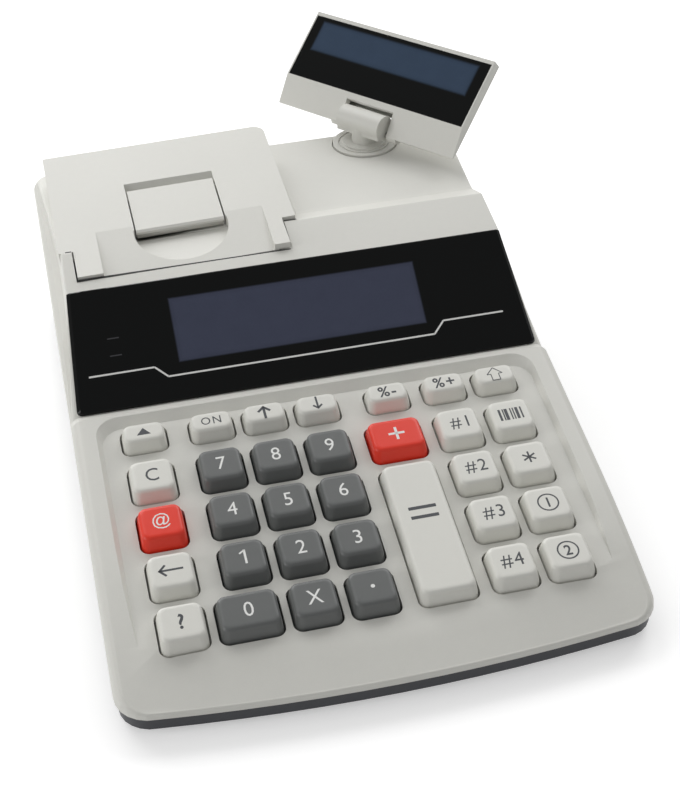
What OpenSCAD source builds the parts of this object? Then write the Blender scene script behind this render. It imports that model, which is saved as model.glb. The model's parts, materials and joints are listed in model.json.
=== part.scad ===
// Ticket register: a counter-top cash register with a sloping keypad, an operator window,
// a receipt printer under a lid and a customer display on a swivelling post.
// The case is drawn from the middle of the keypad, at its top row of digits: +X to the
// operator's right, +Y to the rear, Z = 0 on the counter. in_frame() then moves the whole
// model so that its bounding box is centred on the Z axis.

/* [Keypad] */
// Width of an ordinary keycap at the deck
key_w = 16.2; // [14:0.1:18]
// Depth of an ordinary keycap at the deck
key_d = 17.3; // [15:0.1:19]
// Depth of a key in the function row
fn_key_d = 11.5; // [10:0.1:14]
// Width of the subtotal and total keys
wide_key_w = 20.4; // [18:0.1:24]
// How much further the zero key reaches to the left
zero_extra = 5; // [3:0.1:6]
// Gap between neighbouring keycaps, side to side
key_gap_x = 3.8; // [2.6:0.1:5]
// Gap between neighbouring keycaps, front to back
key_gap_y = 4.5; // [3.4:0.1:6]
// Gap between the first column and the digits
group_gap = 8.9; // [6.5:0.1:12]
// Gap between the digits and the total column
total_gap = 6.8; // [5:0.1:10]
// Gap between the total column and the department keys
dept_gap = 5.6; // [4:0.1:8]
// Gap between the function row and the first row
fn_gap = 6.9; // [4.5:0.1:9]
// Height of a keycap above the deck
key_rise = 5; // [4:0.1:6.5]
// How far a key travels
key_travel = 2.5; // [1.5:0.1:3]
// Clearance all round a keycap in the deck
key_clear = 0.7; // [0.5:0.05:1]

/* [Case] */
// Slope of the keypad deck
deck_tilt = 11; // [8:0.5:14]
// Wall of the case shells
wall = 2.5; // [2:0.1:3]
// Radius of a rubber foot
foot_r = 7; // [5:0.5:9]
// Height of the rubber feet
foot_h = 3; // [2:0.1:4]
// Height of the base band that shows below the seam
base_h = 5.4; // [4.5:0.1:8]
// Height of the upright lip of the top shell
lip_h = 2.3; // [1.8:0.1:4]
// Rise of the front apron
apron_h = 5.2; // [4.5:0.1:9]
// Slope of the front apron
apron_slope = 19; // [17:0.5:26]
// How far the front edge bows out in the middle
front_bow = 5; // [2:0.1:7]
// Width of the flat rim beside the keypad
rim_w = 5.6; // [4.5:0.1:9]
// Depth of the keypad recess below its rim
recess_h = 2.3; // [1.6:0.1:3]
// Lean of the upper side walls, as width lost per unit of height
side_lean = 0.108; // [0.08:0.002:0.13]
// Radius of the shoulder along the sides
shoulder_r = 4.5; // [3:0.1:5.5]
// Radius of the front corners
corner_r = 13; // [9:0.5:16]

/* [Operator window] */
// Slope of the window
window_tilt = 36.4; // [33:0.1:42]
// Length of the window down its slope
window_l = 49.6; // [44:0.1:56]
// Thickness of the window panel
window_t = 3; // [2.5:0.1:4]
// Height of the window panel above the case
window_proud = 1.2; // [0.8:0.1:1.6]
// Width of the operator display's glass
lcd_w = 97; // [85:0.5:110]
// Depth of the operator display's glass
lcd_d = 26; // [22:0.5:30]

/* [Rear deck] */
// Depth of the flat strip behind the window
strip_l = 23; // [18:0.5:28]
// Drop from the ridge to the shelf
shelf_drop = 5.6; // [4:0.1:8]
// Depth of the shelf behind the ridge
shelf_l = 80; // [76:0.5:95]

/* [Printer lid] */
// Width of the lid
lid_w = 94.6; // [90:0.1:100]
// Thickness of the lid
lid_t = 2.4; // [2:0.1:3]
// Length of the lid behind the ridge
lid_l = 70.5; // [68:0.5:75]
// Slope of the lid
lid_tilt = 6; // [4:0.5:7]
// Roll of the lid, up towards its right side
lid_roll = 1.3; // [0:0.1:1.6]
// Running gap round the lid
lid_gap = 0.6; // [0.4:0.05:0.9]
// Width of the seam in front of the lid
lid_seam = 1.1; // [0.5:0.1:1.4]
// How far the lid opens
lid_open = 72; // [50:1:75]
// Radius of the lid's hinge pin
hinge_r = 1.5; // [1.2:0.1:2]
// Width of the lid's release flap
flap_w = 35.7; // [30:0.1:40]
// Length of the lid's release flap
flap_l = 29; // [25:0.1:32]

/* [Printer] */
// Width of the paper
paper_w = 57.5; // [50:0.5:58]
// Radius of the platen roller
platen_r = 5; // [4:0.1:6]
// Radius of the platen's shaft
shaft_r = 1.5; // [1.2:0.1:2]
// Module of the printer's gears
gear_module = 0.5; // [0.4:0.05:0.6]
// Teeth of the platen gear
platen_teeth = 32; // [28:1:36]
// Teeth of the motor gear
motor_teeth = 14; // [12:1:18]

/* [Customer display] */
// Width of the display head
head_w = 97; // [88:0.5:104]
// Height of the display head's window
head_window_h = 30; // [27:0.1:34]
// Height of the chin below the head's window
chin_h = 13; // [12:0.1:16]
// Radius of the knuckle that the head tilts on
knuckle_r = 5.5; // [5:0.1:6]
// How far the pin that the head tilts on lies below the knuckle's middle
pin_drop = 3.5; // [3:0.1:3.8]
// How far the pin lies behind the knuckle's middle
pin_behind = 1.35; // [1:0.05:1.8]
// Length of the knuckle
knuckle_l = 22.5; // [20:0.1:28]
// Radius of the swivel disc
disc_r = 14; // [12:0.1:17]
// Height of the knuckle's middle above the shelf
knuckle_z = 9.8; // [9.3:0.1:11]
// Swivel angle at rest
swivel_rest = -52; // [-60:1:-45]
// Lean of the head at rest, back from upright
tilt_rest = 48; // [42:1:54]

/* [Fits] */
// Running clearance of a pin or shaft in its bore
run_fit = 0.06; // [0.04:0.01:0.09]
// Gap between neighbouring parts that don't move on each other
seat_gap = 0.3; // [0.3:0.05:0.4]

/* [Hidden] */

shell_colour = [0.86, 0.85, 0.80];
dark_colour = [0.2, 0.2, 0.22];
black_colour = [0.04, 0.04, 0.05];
grey_key_colour = [0.34, 0.36, 0.37];
red_key_colour = [0.85, 0.18, 0.11];
white_key_colour = [0.9, 0.89, 0.85];
steel_colour = [0.7, 0.71, 0.73];
board_colour = [0.1, 0.35, 0.2];

// Key columns, from left to right: widths, the gaps after them, and the centres they give.
col_w = [key_w, key_w, key_w, key_w, wide_key_w, key_w, key_w];
col_gap = [group_gap, key_gap_x, key_gap_x, total_gap, dept_gap, key_gap_x, 0];
function sum_to(list, count) = count <= 0 ? 0 : list[count - 1] + sum_to(list, count - 1);
keys_w = sum_to(col_w, 7) + sum_to(col_gap, 6);
function col_x(c) = -keys_w / 2 + sum_to(col_w, c) + sum_to(col_gap, c) + col_w[c] / 2;
row_pitch = key_d + key_gap_y;
function row_y(r) = -r * row_pitch;
fn_row_y = (key_d + fn_key_d) / 2 + fn_gap;

// The deck is a plane that tilts about the X axis through the middle key. Its z = 0 is the
// plane of the key tops, so the deck's own surface is at -key_rise.
deck_top = -key_rise;
rim_top = deck_top + recess_h;
recess_side = keys_w / 2 + 7.3;
recess_slope = 1.7;
recess_rear = fn_row_y + fn_key_d / 2 + 2.1;
recess_front = row_y(3) - key_d / 2 - 8;
recess_r = 8;
strip_front = 5.6;
recess_rear_run = 4.2;

seam_z = foot_h + base_h;
lip_top = seam_z + lip_h;
crease_z = lip_top + apron_h;
deck_z0 = crease_z - recess_front * sin(deck_tilt) - deck_top * cos(deck_tilt);
function deck_y(y, z) = y * cos(deck_tilt) - z * sin(deck_tilt);
function deck_z(y, z) = deck_z0 + y * sin(deck_tilt) + z * cos(deck_tilt);
module on_deck() {
    translate([0, 0, deck_z0]) rotate([deck_tilt, 0, 0]) children();
}

// Side view of the case's top, as [Y, Z] points.
apron_run = tan(apron_slope);
crease_y = deck_y(recess_front, deck_top);
front_y = crease_y - apron_h / apron_run;
lip_step = 0.6;
seam_front = front_y - lip_step;
window_y = recess_rear + recess_rear_run + strip_front;
valley = 0.5;
window_foot = [deck_y(window_y, rim_top), deck_z(window_y, rim_top) - window_proud - valley];
window_head = window_foot + window_l * [cos(window_tilt), sin(window_tilt)];
window_sink = window_proud / cos(window_tilt);
ridge = window_head + strip_l * [cos(deck_tilt), sin(deck_tilt)];
shelf_z = ridge[1] - shelf_drop;
shelf_slope_run = 15.4;
shelf_front = ridge[0] + shelf_slope_run;
shelf_rear = ridge[0] + shelf_l;
rear_lean = 0.03;
seam_rear = shelf_rear + rear_lean * (shelf_z - seam_z);

// Half width of the case at a height, from the width that the keypad and its rims need.
rim_z = deck_z(recess_rear, rim_top);
seam_half = recess_side + recess_slope + rim_w + side_lean * (rim_z - seam_z);
function half_at(z) = seam_half - side_lean * (z - seam_z);

// Operator window
window_half = half_at(window_head[1]) - 0.1;
window_foot_half = half_at(window_foot[1]) - 0.1;
pocket_clear = 0.15;
lcd_from = (window_l - lcd_d) * 0.63;

// Printer lid
lid_right = -half_at(ridge[1]) + lid_w - 0.1;
tongue_front = window_head[0] + 7.2;
tongue_left = -half_at(ridge[1]) + 5.1;
tongue_right = lid_right - 5.5;
printer_x = (tongue_left + tongue_right) / 2 + 1.9;
lid_z0 = window_head[1] + (tongue_front - window_head[0]) * tan(deck_tilt) + 0.3;
lid_rear = ridge[0] + lid_l;
function lid_z(y) = lid_z0 + (y - tongue_front) * tan(lid_tilt);
ramp_half = 33.8;
ramp_depth = 2.6;
ramp_l = 27.3;
flap_front = tongue_front + 23.9;
flap_rear = flap_front + flap_l;
flap_pivot_r = 1.5;
hinge_y = lid_rear - 5;
hinge_under = 3.4;
hinge_z = lid_z(hinge_y) - lid_t - hinge_under;
lid_swing = norm([lid_rear - hinge_y, lid_t + hinge_under]);
tower_right = lid_right - 0.6;
bay_left = -half_at(ridge[1]) + 7;
bay_right = tongue_right - 2.5;
bay_front = tongue_front + 3.5;
bay_rear = hinge_y - 6.5;

// Printer, whose roller turns just in front of the paper slot's edge
platen_y = ridge[0] - 5.5;
platen_z = lid_z(platen_y) - lid_t - ramp_depth - platen_r - 3.2;
platen_l = paper_w + 1;
frame_wall = 2.4;
frame_half = platen_l / 2 + 1.6 + frame_wall;
centre_distance = gear_module * (platen_teeth + motor_teeth) / 2 + 0.12;
gear_w = 4;
gear_gap = 0.8;
motor_turn = 75;
motor_y = platen_y + centre_distance * cos(motor_turn);
motor_z = platen_z - centre_distance * sin(motor_turn);
motor_r = 6;
motor_l = 20;
motor_shaft_r = 1;
head_y = platen_y - platen_r - 1.2;
roll_r = 25;
roll_y = ridge[0] + 33;
roll_z = lid_z(roll_y) - lid_t - roll_r - 6.5;
tub_t = 2;

// Customer display. Its head is drawn upright, facing -Y, with the tilt axis along X at the
// origin, and then leans back and swivels into place. head_turn() swivels without leaning.
turret_x = (lid_right + half_at(shelf_z)) / 2 + 5.6;
turret_y = shelf_rear - 11.4;
tilt_z = shelf_z + knuckle_z - pin_drop;
face_y = -6;
head_t = 4.2;
head_deep = 12.5;
head_foot = -1.4;
chin_lean = 17;
chin_top = head_foot + chin_h;
head_rim = 1.6;
head_top = chin_top + head_window_h + head_rim;
head_wall = 1.6;
notch_clear = 1.6;
notch_top = 9;
tilt_pin_r = 1.2;
lug_r = 2.4;
pin_boss_r = 3;
lug_l = 5;
stem_r = 5.4;
disc_t = 2;
disc_sink = 1.2;

module head_turn() {
    translate([turret_x, turret_y, tilt_z]) rotate([0, 0, swivel_rest]) translate([0, pin_behind, 0]) children();
}
module head_place() {
    head_turn() rotate([-tilt_rest, 0, 0]) children();
}

// Box of the whole model, which sets the frame: the case, widened by the leaning head.
function head_point(x, y, z) =
    let (lean_y = pin_behind + y * cos(tilt_rest) + z * sin(tilt_rest))
    [turret_x + x * cos(swivel_rest) - lean_y * sin(swivel_rest),
     turret_y + x * sin(swivel_rest) + lean_y * cos(swivel_rest)];
head_points = [for (x = [-head_w / 2, head_w / 2], y = [face_y, face_y + head_t], z = [head_foot, head_top])
    head_point(x, y, z)];
max_x = max(seam_half, max([for (p = head_points) p[0]]));
max_y = max(seam_rear, max([for (p = head_points) p[1]]));
frame_x = -(max_x - seam_half) / 2;
frame_y = -(max_y + seam_front) / 2;
module in_frame() {
    translate([frame_x, frame_y, 0]) children();
}

// ---------------------------------------------------------------- shapes used more than once

// Rectangle with round corners, centred, made of plain squares and circles
module round_rect(w, d, r, fn = 48) {
    rr = min(r, w / 2 - 0.01, d / 2 - 0.01);
    square([w - 2 * rr, d], center = true);
    square([w, d - 2 * rr], center = true);
    for (x = [-1, 1], y = [-1, 1])
        translate([x * (w / 2 - rr), y * (d / 2 - rr)]) circle(r = rr, $fn = fn);
}

// Cylinder along X, centred on the origin
module rod_x(r, l) {
    rotate([0, 90, 0]) cylinder(r = r, h = l, center = true, $fn = 48);
}

// Rod or bore from one X to another
module rod_between(r, x0, x1) {
    translate([x0, 0, 0]) rotate([0, 90, 0]) cylinder(r = r, h = x1 - x0, $fn = 48);
}

// Spur gear along X: trapezoid teeth on a disc, with a bore
module spur_gear(teeth, width, bore) {
    pitch_r = gear_module * teeth / 2;
    tip = pitch_r + gear_module;
    root = pitch_r - 1.25 * gear_module;
    half_tip = 13 * gear_module / tip;
    half_root = 40 * gear_module / root;
    outline = [for (i = [0 : teeth - 1], e = [[root, -half_root], [tip, -half_tip], [tip, half_tip], [root, half_root]])
        let (a = i * 360 / teeth + e[1]) [e[0] * cos(a), e[0] * sin(a)]];
    rotate([90, 0, 90]) difference() {
        linear_extrude(width, center = true) polygon(outline);
        cylinder(r = bore, h = width + 2, center = true, $fn = 48);
    }
}

// ---------------------------------------------------------------- skin of the top shell

// Height of the top behind the apron, from its side view
top_line = [
    [deck_y(recess_front - 20, rim_top), deck_z(recess_front - 20, rim_top)],
    [deck_y(window_y - 4.5, rim_top), deck_z(window_y - 4.5, rim_top)],
    [window_foot[0] - 0.6, window_foot[1] - window_sink + 0.9],
    [window_foot[0] + 0.6, window_foot[1] - window_sink + 0.6 * tan(window_tilt)],
    [window_head[0] - 0.5, window_head[1] - window_sink - 0.5 * tan(window_tilt)],
    [window_head[0] + 0.3, window_head[1]],
    [ridge[0] - 0.8, ridge[1] - 0.8 * tan(deck_tilt)],
    [ridge[0], ridge[1] - 0.1],
    [ridge[0] + 0.9, ridge[1] - 0.4],
    [shelf_front - 4, shelf_z + 4 * shelf_drop / shelf_slope_run - 0.15],
    [shelf_front - 2, shelf_z + 0.45],
    [shelf_front, shelf_z + 0.1],
    [shelf_front + 2, shelf_z],
    [seam_rear + 10, shelf_z]];
function bow(x) = front_bow * pow(x / (seam_half - corner_r), 2);
function soft_min(a, b, r) = min(a, b) - pow(max(r - abs(a - b), 0), 2) / (4 * r);
function apron_z(y) = lip_top + (y - front_y) * apron_run;
function top_z(x, y) = soft_min(apron_z(y - bow(x)), lookup(y, top_line), 3.5);

// Rows of the skin run from front to back, given by their Y at the side wall
side_bow = bow(seam_half - corner_r);
corner_y = seam_front + side_bow + corner_r;
rear_r = 7;
crest_y = meet([front_y + bow(seam_half - 5), lip_top], apron_run, window_foot, tan(deck_tilt))[0] - 4;
arc_steps = [0 : 15 : 90];
row_list = concat(
    [for (a = arc_steps) corner_y - corner_r * cos(a)],
    [for (d = [-1.4, -0.5, 0.6, 2, 3.6]) crest_y + d],
    [for (d = [12, 24, 38, 60]) crest_y + d],
    [for (i = [1 : len(top_line) - 2]) top_line[i][0]],
    [for (a = arc_steps) seam_rear - rear_r + rear_r * sin(a)]);
function sorted(list) = len(list) < 2 ? list :
    let (p = list[floor(len(list) / 2)])
    concat(sorted([for (v = list) if (v < p) v]), [p], sorted([for (v = list) if (v > p) v]));
rows_y = sorted(row_list);
row_count = len(rows_y);
columns = 12;

// Side wall of the outline at the seam: its place and its outward direction at a given Y
function side_turn(y) = y < corner_y ? acos(min(1, (corner_y - y) / corner_r)) :
    y > seam_rear - rear_r ? 90 + asin(min(1, (y - seam_rear + rear_r) / rear_r)) : 90;
function side_x(y) = y < corner_y ? seam_half - corner_r * (1 - sin(side_turn(y))) :
    seam_half - rear_r * (1 - sin(side_turn(y)));
function bow_share(y) = y < crest_y + 4 ? 1 : max(0, 1 - (y - crest_y - 4) / 60);

// Height of the shoulder line, which carries the keypad's rim back along the sides
function rim_line(y) = deck_z((y + rim_top * sin(deck_tilt)) / cos(deck_tilt), rim_top);

// Radius of the top edge beside a row
function edge_r(y) = lookup(y, [
    [seam_front + side_bow, 0.9], [corner_y - 2, shoulder_r], [seam_rear - rear_r, shoulder_r], [seam_rear, 2]]);

// A point of the outline at one level of the side, from level 0 where the top ends to
// side_levels at the seam. low_turns round a plain edge. Where the case stands above its
// shoulder line, the levels first round the top edge, then follow the leaning upper wall
// and then round the shoulder.
low_turns = [0, 16, 32, 47, 61, 76, 90];
side_levels = len(low_turns);
top_edge_r = 0.7;
lower_lean = 0.012;
function plain_point(r, z_top, level) =
    let (a = low_turns[level]) [r * (1 - sin(a)), z_top - r * (1 - cos(a))];
function tall_point(z_top, z_rim, level) =
    let (foot = seam_half - half_at(z_rim), a = [0, 45, 90, 0, 32, 61, 90][level])
    level < 3 ?
        [seam_half - half_at(z_top) + top_edge_r * (1 - sin(a)), z_top - top_edge_r * (1 - cos(a))] :
        [foot * (1 - sin(a)), z_rim - shoulder_r * (1 - cos(a))];
function ring_point(x, y, turn, side, level) =
    let (r = edge_r(y),
         n = [side * sin(turn), -cos(turn)],
         z_top = top_z(x - n[0] * r, y - n[1] * r),
         z_rim = rim_line(y),
         tall = z_top - z_rim > 1.5 && turn == 90,
         side_of = level == side_levels ? [0, seam_z] :
             tall ? tall_point(z_top, z_rim, level) : plain_point(r, z_top, level),
         z = max(side_of[1], seam_z + (side_levels - level) * 0.2),
         lean = (tall && level < 3 ? 0 : lower_lean) * sin(turn) + rear_lean * max(0, -cos(turn)),
         back = side_of[0] + lean * (z - seam_z))
    [x - n[0] * back, y - n[1] * back, z];
function row_end(k, side, level) =
    let (y = rows_y[k]) ring_point(side * side_x(y), y, side_turn(y), side, level);
function front_x(i) = (seam_half - corner_r) * (2 * i / columns - 1);
function front_point(i, level) = ring_point(front_x(i), seam_front + bow(front_x(i)), 0, 1, level);
function rear_point(i, level) =
    ring_point((seam_half - rear_r) * (2 * i / columns - 1), seam_rear, 180, 1, level);

// One closed ring of the skin, anticlockwise from the front left
function ring(level) = concat(
    [for (i = [0 : columns]) front_point(i, level)],
    [for (k = [1 : row_count - 2]) row_end(k, 1, level)],
    [for (i = [columns : -1 : 0]) rear_point(i, level)],
    [for (k = [row_count - 2 : -1 : 1]) row_end(k, -1, level)]);
ring_size = 2 * (columns + 1) + 2 * (row_count - 2);
ring_levels = side_levels + 1;

// Points inside the top, row by row between the two ends of level 0
function inner_point(k, i) =
    let (left = row_end(k, -1, 0), right = row_end(k, 1, 0), share = bow_share(rows_y[k]),
         x = left[0] + (right[0] - left[0]) * i / columns,
         y = (left[1] + right[1]) / 2 - share * (bow(right[0]) - bow(x)))
    [x, y, top_z(x, y)];
inner_start = ring_levels * ring_size;
function grid_index(k, i) =
    k == 0 ? i :
    k == row_count - 1 ? columns + 1 + (row_count - 2) + (columns - i) :
    i == columns ? columns + k :
    i == 0 ? ring_size - k :
    inner_start + (k - 1) * (columns - 1) + i - 1;

module case_skin() {
    points = concat(
        [for (level = [0 : ring_levels - 1]) each ring(level)],
        [for (k = [1 : row_count - 2], i = [1 : columns - 1]) inner_point(k, i)]);
    top_faces = [for (k = [0 : row_count - 2], i = [0 : columns - 1])
        let (a = grid_index(k, i), b = grid_index(k, i + 1),
             c = grid_index(k + 1, i + 1), d = grid_index(k + 1, i))
        each [[a, c, b], [a, d, c]]];
    side_faces = [for (level = [0 : ring_levels - 2], j = [0 : ring_size - 1])
        let (next = (j + 1) % ring_size, a = level * ring_size, b = a + ring_size)
        each [[a + j, a + next, b + next], [a + j, b + next, b + j]]];
    foot = (ring_levels - 1) * ring_size;
    foot_face = [[for (j = [0 : ring_size - 1]) foot + j]];
    polyhedron(points, concat(top_faces, side_faces, foot_face));
}

// ---------------------------------------------------------------- keys

// Place, size and colour of a key: [x, y, w, d, colour]
function plain_key(c, r, colour) = [col_x(c), row_y(r), key_w, key_d, colour];
function fn_key(c) = [col_x(c) + (c == 4 ? 1.8 : 0), fn_row_y, key_w, fn_key_d, white_key_colour];
zero_key = [col_x(1) - zero_extra / 2, row_y(3), key_w + zero_extra, key_d, grey_key_colour];
subtotal_key = [col_x(4), row_y(0), wide_key_w, key_d, red_key_colour];
total_key = [col_x(4), row_y(2), wide_key_w, 2 * row_pitch + key_d, white_key_colour];
all_keys = concat(
    [for (c = [0 : 6]) fn_key(c)],
    [for (c = [0, 1, 2, 3, 5, 6], r = [0 : 3]) if (!(c == 1 && r == 3)) plain_key(c, r, white_key_colour)],
    [zero_key, subtotal_key, total_key]);

cap_r = 2.8;
cap_side = 0.6;
cap_rear = 0.9;
cap_front = 1.7;
skirt_foot = deck_top - wall - 0.5;
flange_t = 0.9;
flange_w = 1.2;
pad_h = 0.4;
mat_t = 1;
board_t = 1.6;
mat_top = skirt_foot - flange_t - key_travel - seat_gap - pad_h;
board_top = mat_top - mat_t;

// Outline of a keycap, shrunk towards its top and pushed to the rear
module cap_slice(w, d, share, edge, z) {
    side = cap_side * share + edge;
    rear = cap_rear * share + edge;
    front = cap_front * share + edge;
    translate([0, (front - rear) / 2, z])
        linear_extrude(0.01)
            round_rect(w - 2 * side, d - front - rear, cap_r - edge * 0.6, 20);
}

// One keycap with its skirt and its retaining flange
module keycap(key) {
    w = key[2];
    d = key[3];
    color(key[4]) in_frame() on_deck() translate([key[0], key[1], 0]) {
        hull() {
            cap_slice(w, d, 0, 0, deck_top - 0.5);
            cap_slice(w, d, 0.82, 0, -1.1);
            cap_slice(w, d, 0.95, 0.35, -0.34);
            cap_slice(w, d, 1, 1.1, -0.01);
        }
        translate([0, 0, skirt_foot])
            linear_extrude(deck_top - skirt_foot - 0.4) round_rect(w, d, cap_r, 20);
        translate([0, 0, skirt_foot - flange_t])
            linear_extrude(flange_t + 0.1) square([w + 2 * flange_w, d + 2 * flange_w], center = true);
    }
}

module key_eject() keycap(fn_key(0));
module key_on() keycap(fn_key(1));
module key_up() keycap(fn_key(2));
module key_down() keycap(fn_key(3));
module key_percent_minus() keycap(fn_key(4));
module key_percent_plus() keycap(fn_key(5));
module key_shift() keycap(fn_key(6));
module key_c() keycap(plain_key(0, 0, white_key_colour));
module key_price() keycap(plain_key(0, 1, red_key_colour));
module key_void() keycap(plain_key(0, 2, white_key_colour));
module key_lookup() keycap(plain_key(0, 3, white_key_colour));
module key_7() keycap(plain_key(1, 0, grey_key_colour));
module key_4() keycap(plain_key(1, 1, grey_key_colour));
module key_1() keycap(plain_key(1, 2, grey_key_colour));
module key_0() keycap(zero_key);
module key_8() keycap(plain_key(2, 0, grey_key_colour));
module key_5() keycap(plain_key(2, 1, grey_key_colour));
module key_2() keycap(plain_key(2, 2, grey_key_colour));
module key_multiply() keycap(plain_key(2, 3, grey_key_colour));
module key_9() keycap(plain_key(3, 0, grey_key_colour));
module key_6() keycap(plain_key(3, 1, grey_key_colour));
module key_3() keycap(plain_key(3, 2, grey_key_colour));
module key_point() keycap(plain_key(3, 3, grey_key_colour));
module key_subtotal() keycap(subtotal_key);
module key_total() keycap(total_key);
module key_department_1() keycap(plain_key(5, 0, white_key_colour));
module key_department_2() keycap(plain_key(5, 1, white_key_colour));
module key_department_3() keycap(plain_key(5, 2, white_key_colour));
module key_department_4() keycap(plain_key(5, 3, white_key_colour));
module key_barcode() keycap(plain_key(6, 0, white_key_colour));
module key_star() keycap(plain_key(6, 1, white_key_colour));
module key_payment_1() keycap(plain_key(6, 2, white_key_colour));
module key_payment_2() keycap(plain_key(6, 3, white_key_colour));

// ---------------------------------------------------------------- shapes of the case

// Outline of the case at the seam, moved inwards
module plan(inset) {
    flat = seam_half - corner_r;
    rear_flat = seam_half - rear_r;
    front_arc = [for (a = [-75 : 15 : 0]) [cos(a), sin(a)]];
    rear_arc = [for (a = [0 : 15 : 90]) [cos(a), sin(a)]];
    right = concat(
        [for (p = front_arc) [flat, corner_y] + (corner_r - inset) * p],
        [for (p = rear_arc) [rear_flat, seam_rear - rear_r] + (rear_r - inset) * p]);
    last = len(right) - 1;
    polygon(concat(
        [for (i = [0 : columns]) [front_x(i), seam_front + inset + bow(front_x(i))]],
        right,
        [for (i = [last : -1 : 0]) [-right[i][0], right[i][1]]]));
}

// Prism along X, drawn in the YZ plane
module side_prism(x0, x1) {
    translate([x0, 0, 0]) rotate([90, 0, 90]) linear_extrude(x1 - x0) children();
}

// Length that reaches past the case on every side
beyond_case = 600;

// Space between the leaning side walls, moved inwards
module between_walls(inset, z0 = -10, z1 = 120) {
    rotate([90, 0, 0])
        linear_extrude(beyond_case, center = true)
            polygon([
                [-half_at(z0) + inset, z0], [half_at(z0) - inset, z0],
                [half_at(z1) - inset, z1], [-half_at(z1) + inset, z1]]);
}

// Where two lines of the side view meet, each given by a point and a slope
function meet(p, slope_p, q, slope_q) =
    let (y = (q[1] - p[1] + slope_p * p[0] - slope_q * q[0]) / (slope_p - slope_q))
    [y, p[1] + slope_p * (y - p[0])];

// Inside of the top shell in side view
inner_apron = [front_y + side_bow + 1.6 * wall, lip_top];
inner_deck = [deck_y(0, deck_top - wall), deck_z(0, deck_top - wall)];
window_under = window_t + pocket_clear + 2;
inner_window = window_foot + window_under * [sin(window_tilt), -cos(window_tilt)];
inner_strip = window_head - [0, wall / cos(deck_tilt)];
inner_shelf_z = shelf_z - wall;
inner_line = [
    inner_apron - [(lip_top - seam_z + 1) / apron_run, lip_top - seam_z + 1],
    meet(inner_apron, apron_run, inner_deck, tan(deck_tilt)),
    meet(inner_deck, tan(deck_tilt), inner_window, tan(window_tilt)),
    meet(inner_window, tan(window_tilt), inner_strip, tan(deck_tilt)),
    [ridge[0] - wall, inner_strip[1] + (ridge[0] - wall - window_head[0]) * tan(deck_tilt)],
    [shelf_front - 2 * wall, inner_shelf_z],
    [shelf_rear - wall, inner_shelf_z],
    [seam_rear - wall, seam_z - 1]];

module case_inside() {
    intersection() {
        side_prism(-120, 120) polygon(inner_line);
        between_walls(wall);
        translate([0, 0, seam_z - 2]) linear_extrude(100) plan(wall - 0.6);
    }
}

// Hollow of the keypad, open at the front, with sloping sides
module keypad_recess() {
    over = 6;
    share = (over + recess_h) / recess_h;
    deep = recess_rear - recess_front + 30;
    hull() {
        on_deck() translate([0, recess_rear - deep / 2, deck_top])
            linear_extrude(0.01) round_rect(2 * recess_side, deep, recess_r, 32);
        on_deck() translate([0, recess_rear + recess_rear_run * share - deep / 2, rim_top + over])
            linear_extrude(0.01)
                round_rect(2 * (recess_side + recess_slope * share), deep, recess_r + recess_slope, 32);
    }
}

module key_apertures() {
    for (key = all_keys)
        on_deck() translate([key[0], key[1], deck_top - wall - 3])
            linear_extrude(wall + 6)
                round_rect(key[2] + 2 * key_clear, key[3] + 2 * key_clear, cap_r + key_clear, 20);
}

// Window frame: y runs up the slope from its foot and z stands out of its face
module at_window() {
    translate([0, window_foot[0], window_foot[1]]) rotate([window_tilt, 0, 0]) children();
}

plug_in = 4;
module window_pocket() {
    at_window() {
        translate([-window_half + plug_in, plug_in, -window_t - pocket_clear])
            cube([2 * (window_half - plug_in), window_l - 2 * plug_in, window_t + 2]);
        translate([-lcd_w / 2 - 3, lcd_from - 3, -window_under - 4])
            cube([lcd_w + 6, lcd_d + 6, window_under + 4]);
    }
}

// ---------------------------------------------------------------- printer bay and tower

// Slab between the lid's top plane and a depth below it, between two Y
module under_lid(x0, x1, y0, y1, depth0, depth1, above = 0) {
    side_prism(x0, x1) polygon([
        [y0, lid_z(y0) - depth0], [y1, lid_z(y1) - depth1], [y1, lid_z(y1) + above], [y0, lid_z(y0) + above]]);
}

lid_front = ridge[0] + 1.6;
lid_corner = 5;
lid_left = -half_at(ridge[1]) - 0.5;
module roll_lid() {
    translate([lid_left, 0, lid_z0]) rotate([0, -lid_roll, 0]) translate([-lid_left, 0, -lid_z0]) children();
}

// Ramp tray under the lid: its place, its floor and the finger scoop in front of the flap
ramp_left = printer_x - ramp_half;
ramp_right = printer_x + ramp_half;
ramp_rear = tongue_front + ramp_l;
tray_wall = 1.6;
scoop_r = 19;
scoop_front = tongue_front + 3.3;
scoop_deep = 5;
tray_deep = ramp_depth + tray_wall;
flap_left = printer_x - flap_w / 2;
flap_right = printer_x + flap_w / 2;
well_rear = flap_rear + 4.4;

// Walls under the lid: [height above the shelf, how far they flare out from their top]
tower_steps = [[-1.2, 4.6], [0.35, 3.1], [1.4, 1.7], [3, 1], [20, 0]];
tower_rear = hinge_y + 3;
module tower() {
    front = lid_front + 0.5;
    for (i = [0 : len(tower_steps) - 2])
        hull() for (step = [tower_steps[i], tower_steps[i + 1]])
            let (rear = tower_rear + step[1] * 0.5, right = tower_right + step[1])
            translate([0, 0, shelf_z + step[0]])
                linear_extrude(0.01) {
                    translate([lid_left, front]) square([20, rear - front]);
                    translate([lid_left, front]) square([right - lid_left, 10]);
                    translate([right - lid_corner, rear - lid_corner]) circle(r = lid_corner, $fn = 32);
                }
}

// Everything cut out of the top shell for the lid and the printer
module lid_seat() {
    translate([bay_left, bay_front, 20]) cube([bay_right - bay_left, bay_rear - bay_front, 100]);
    roll_lid() lid_space();
}

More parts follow.
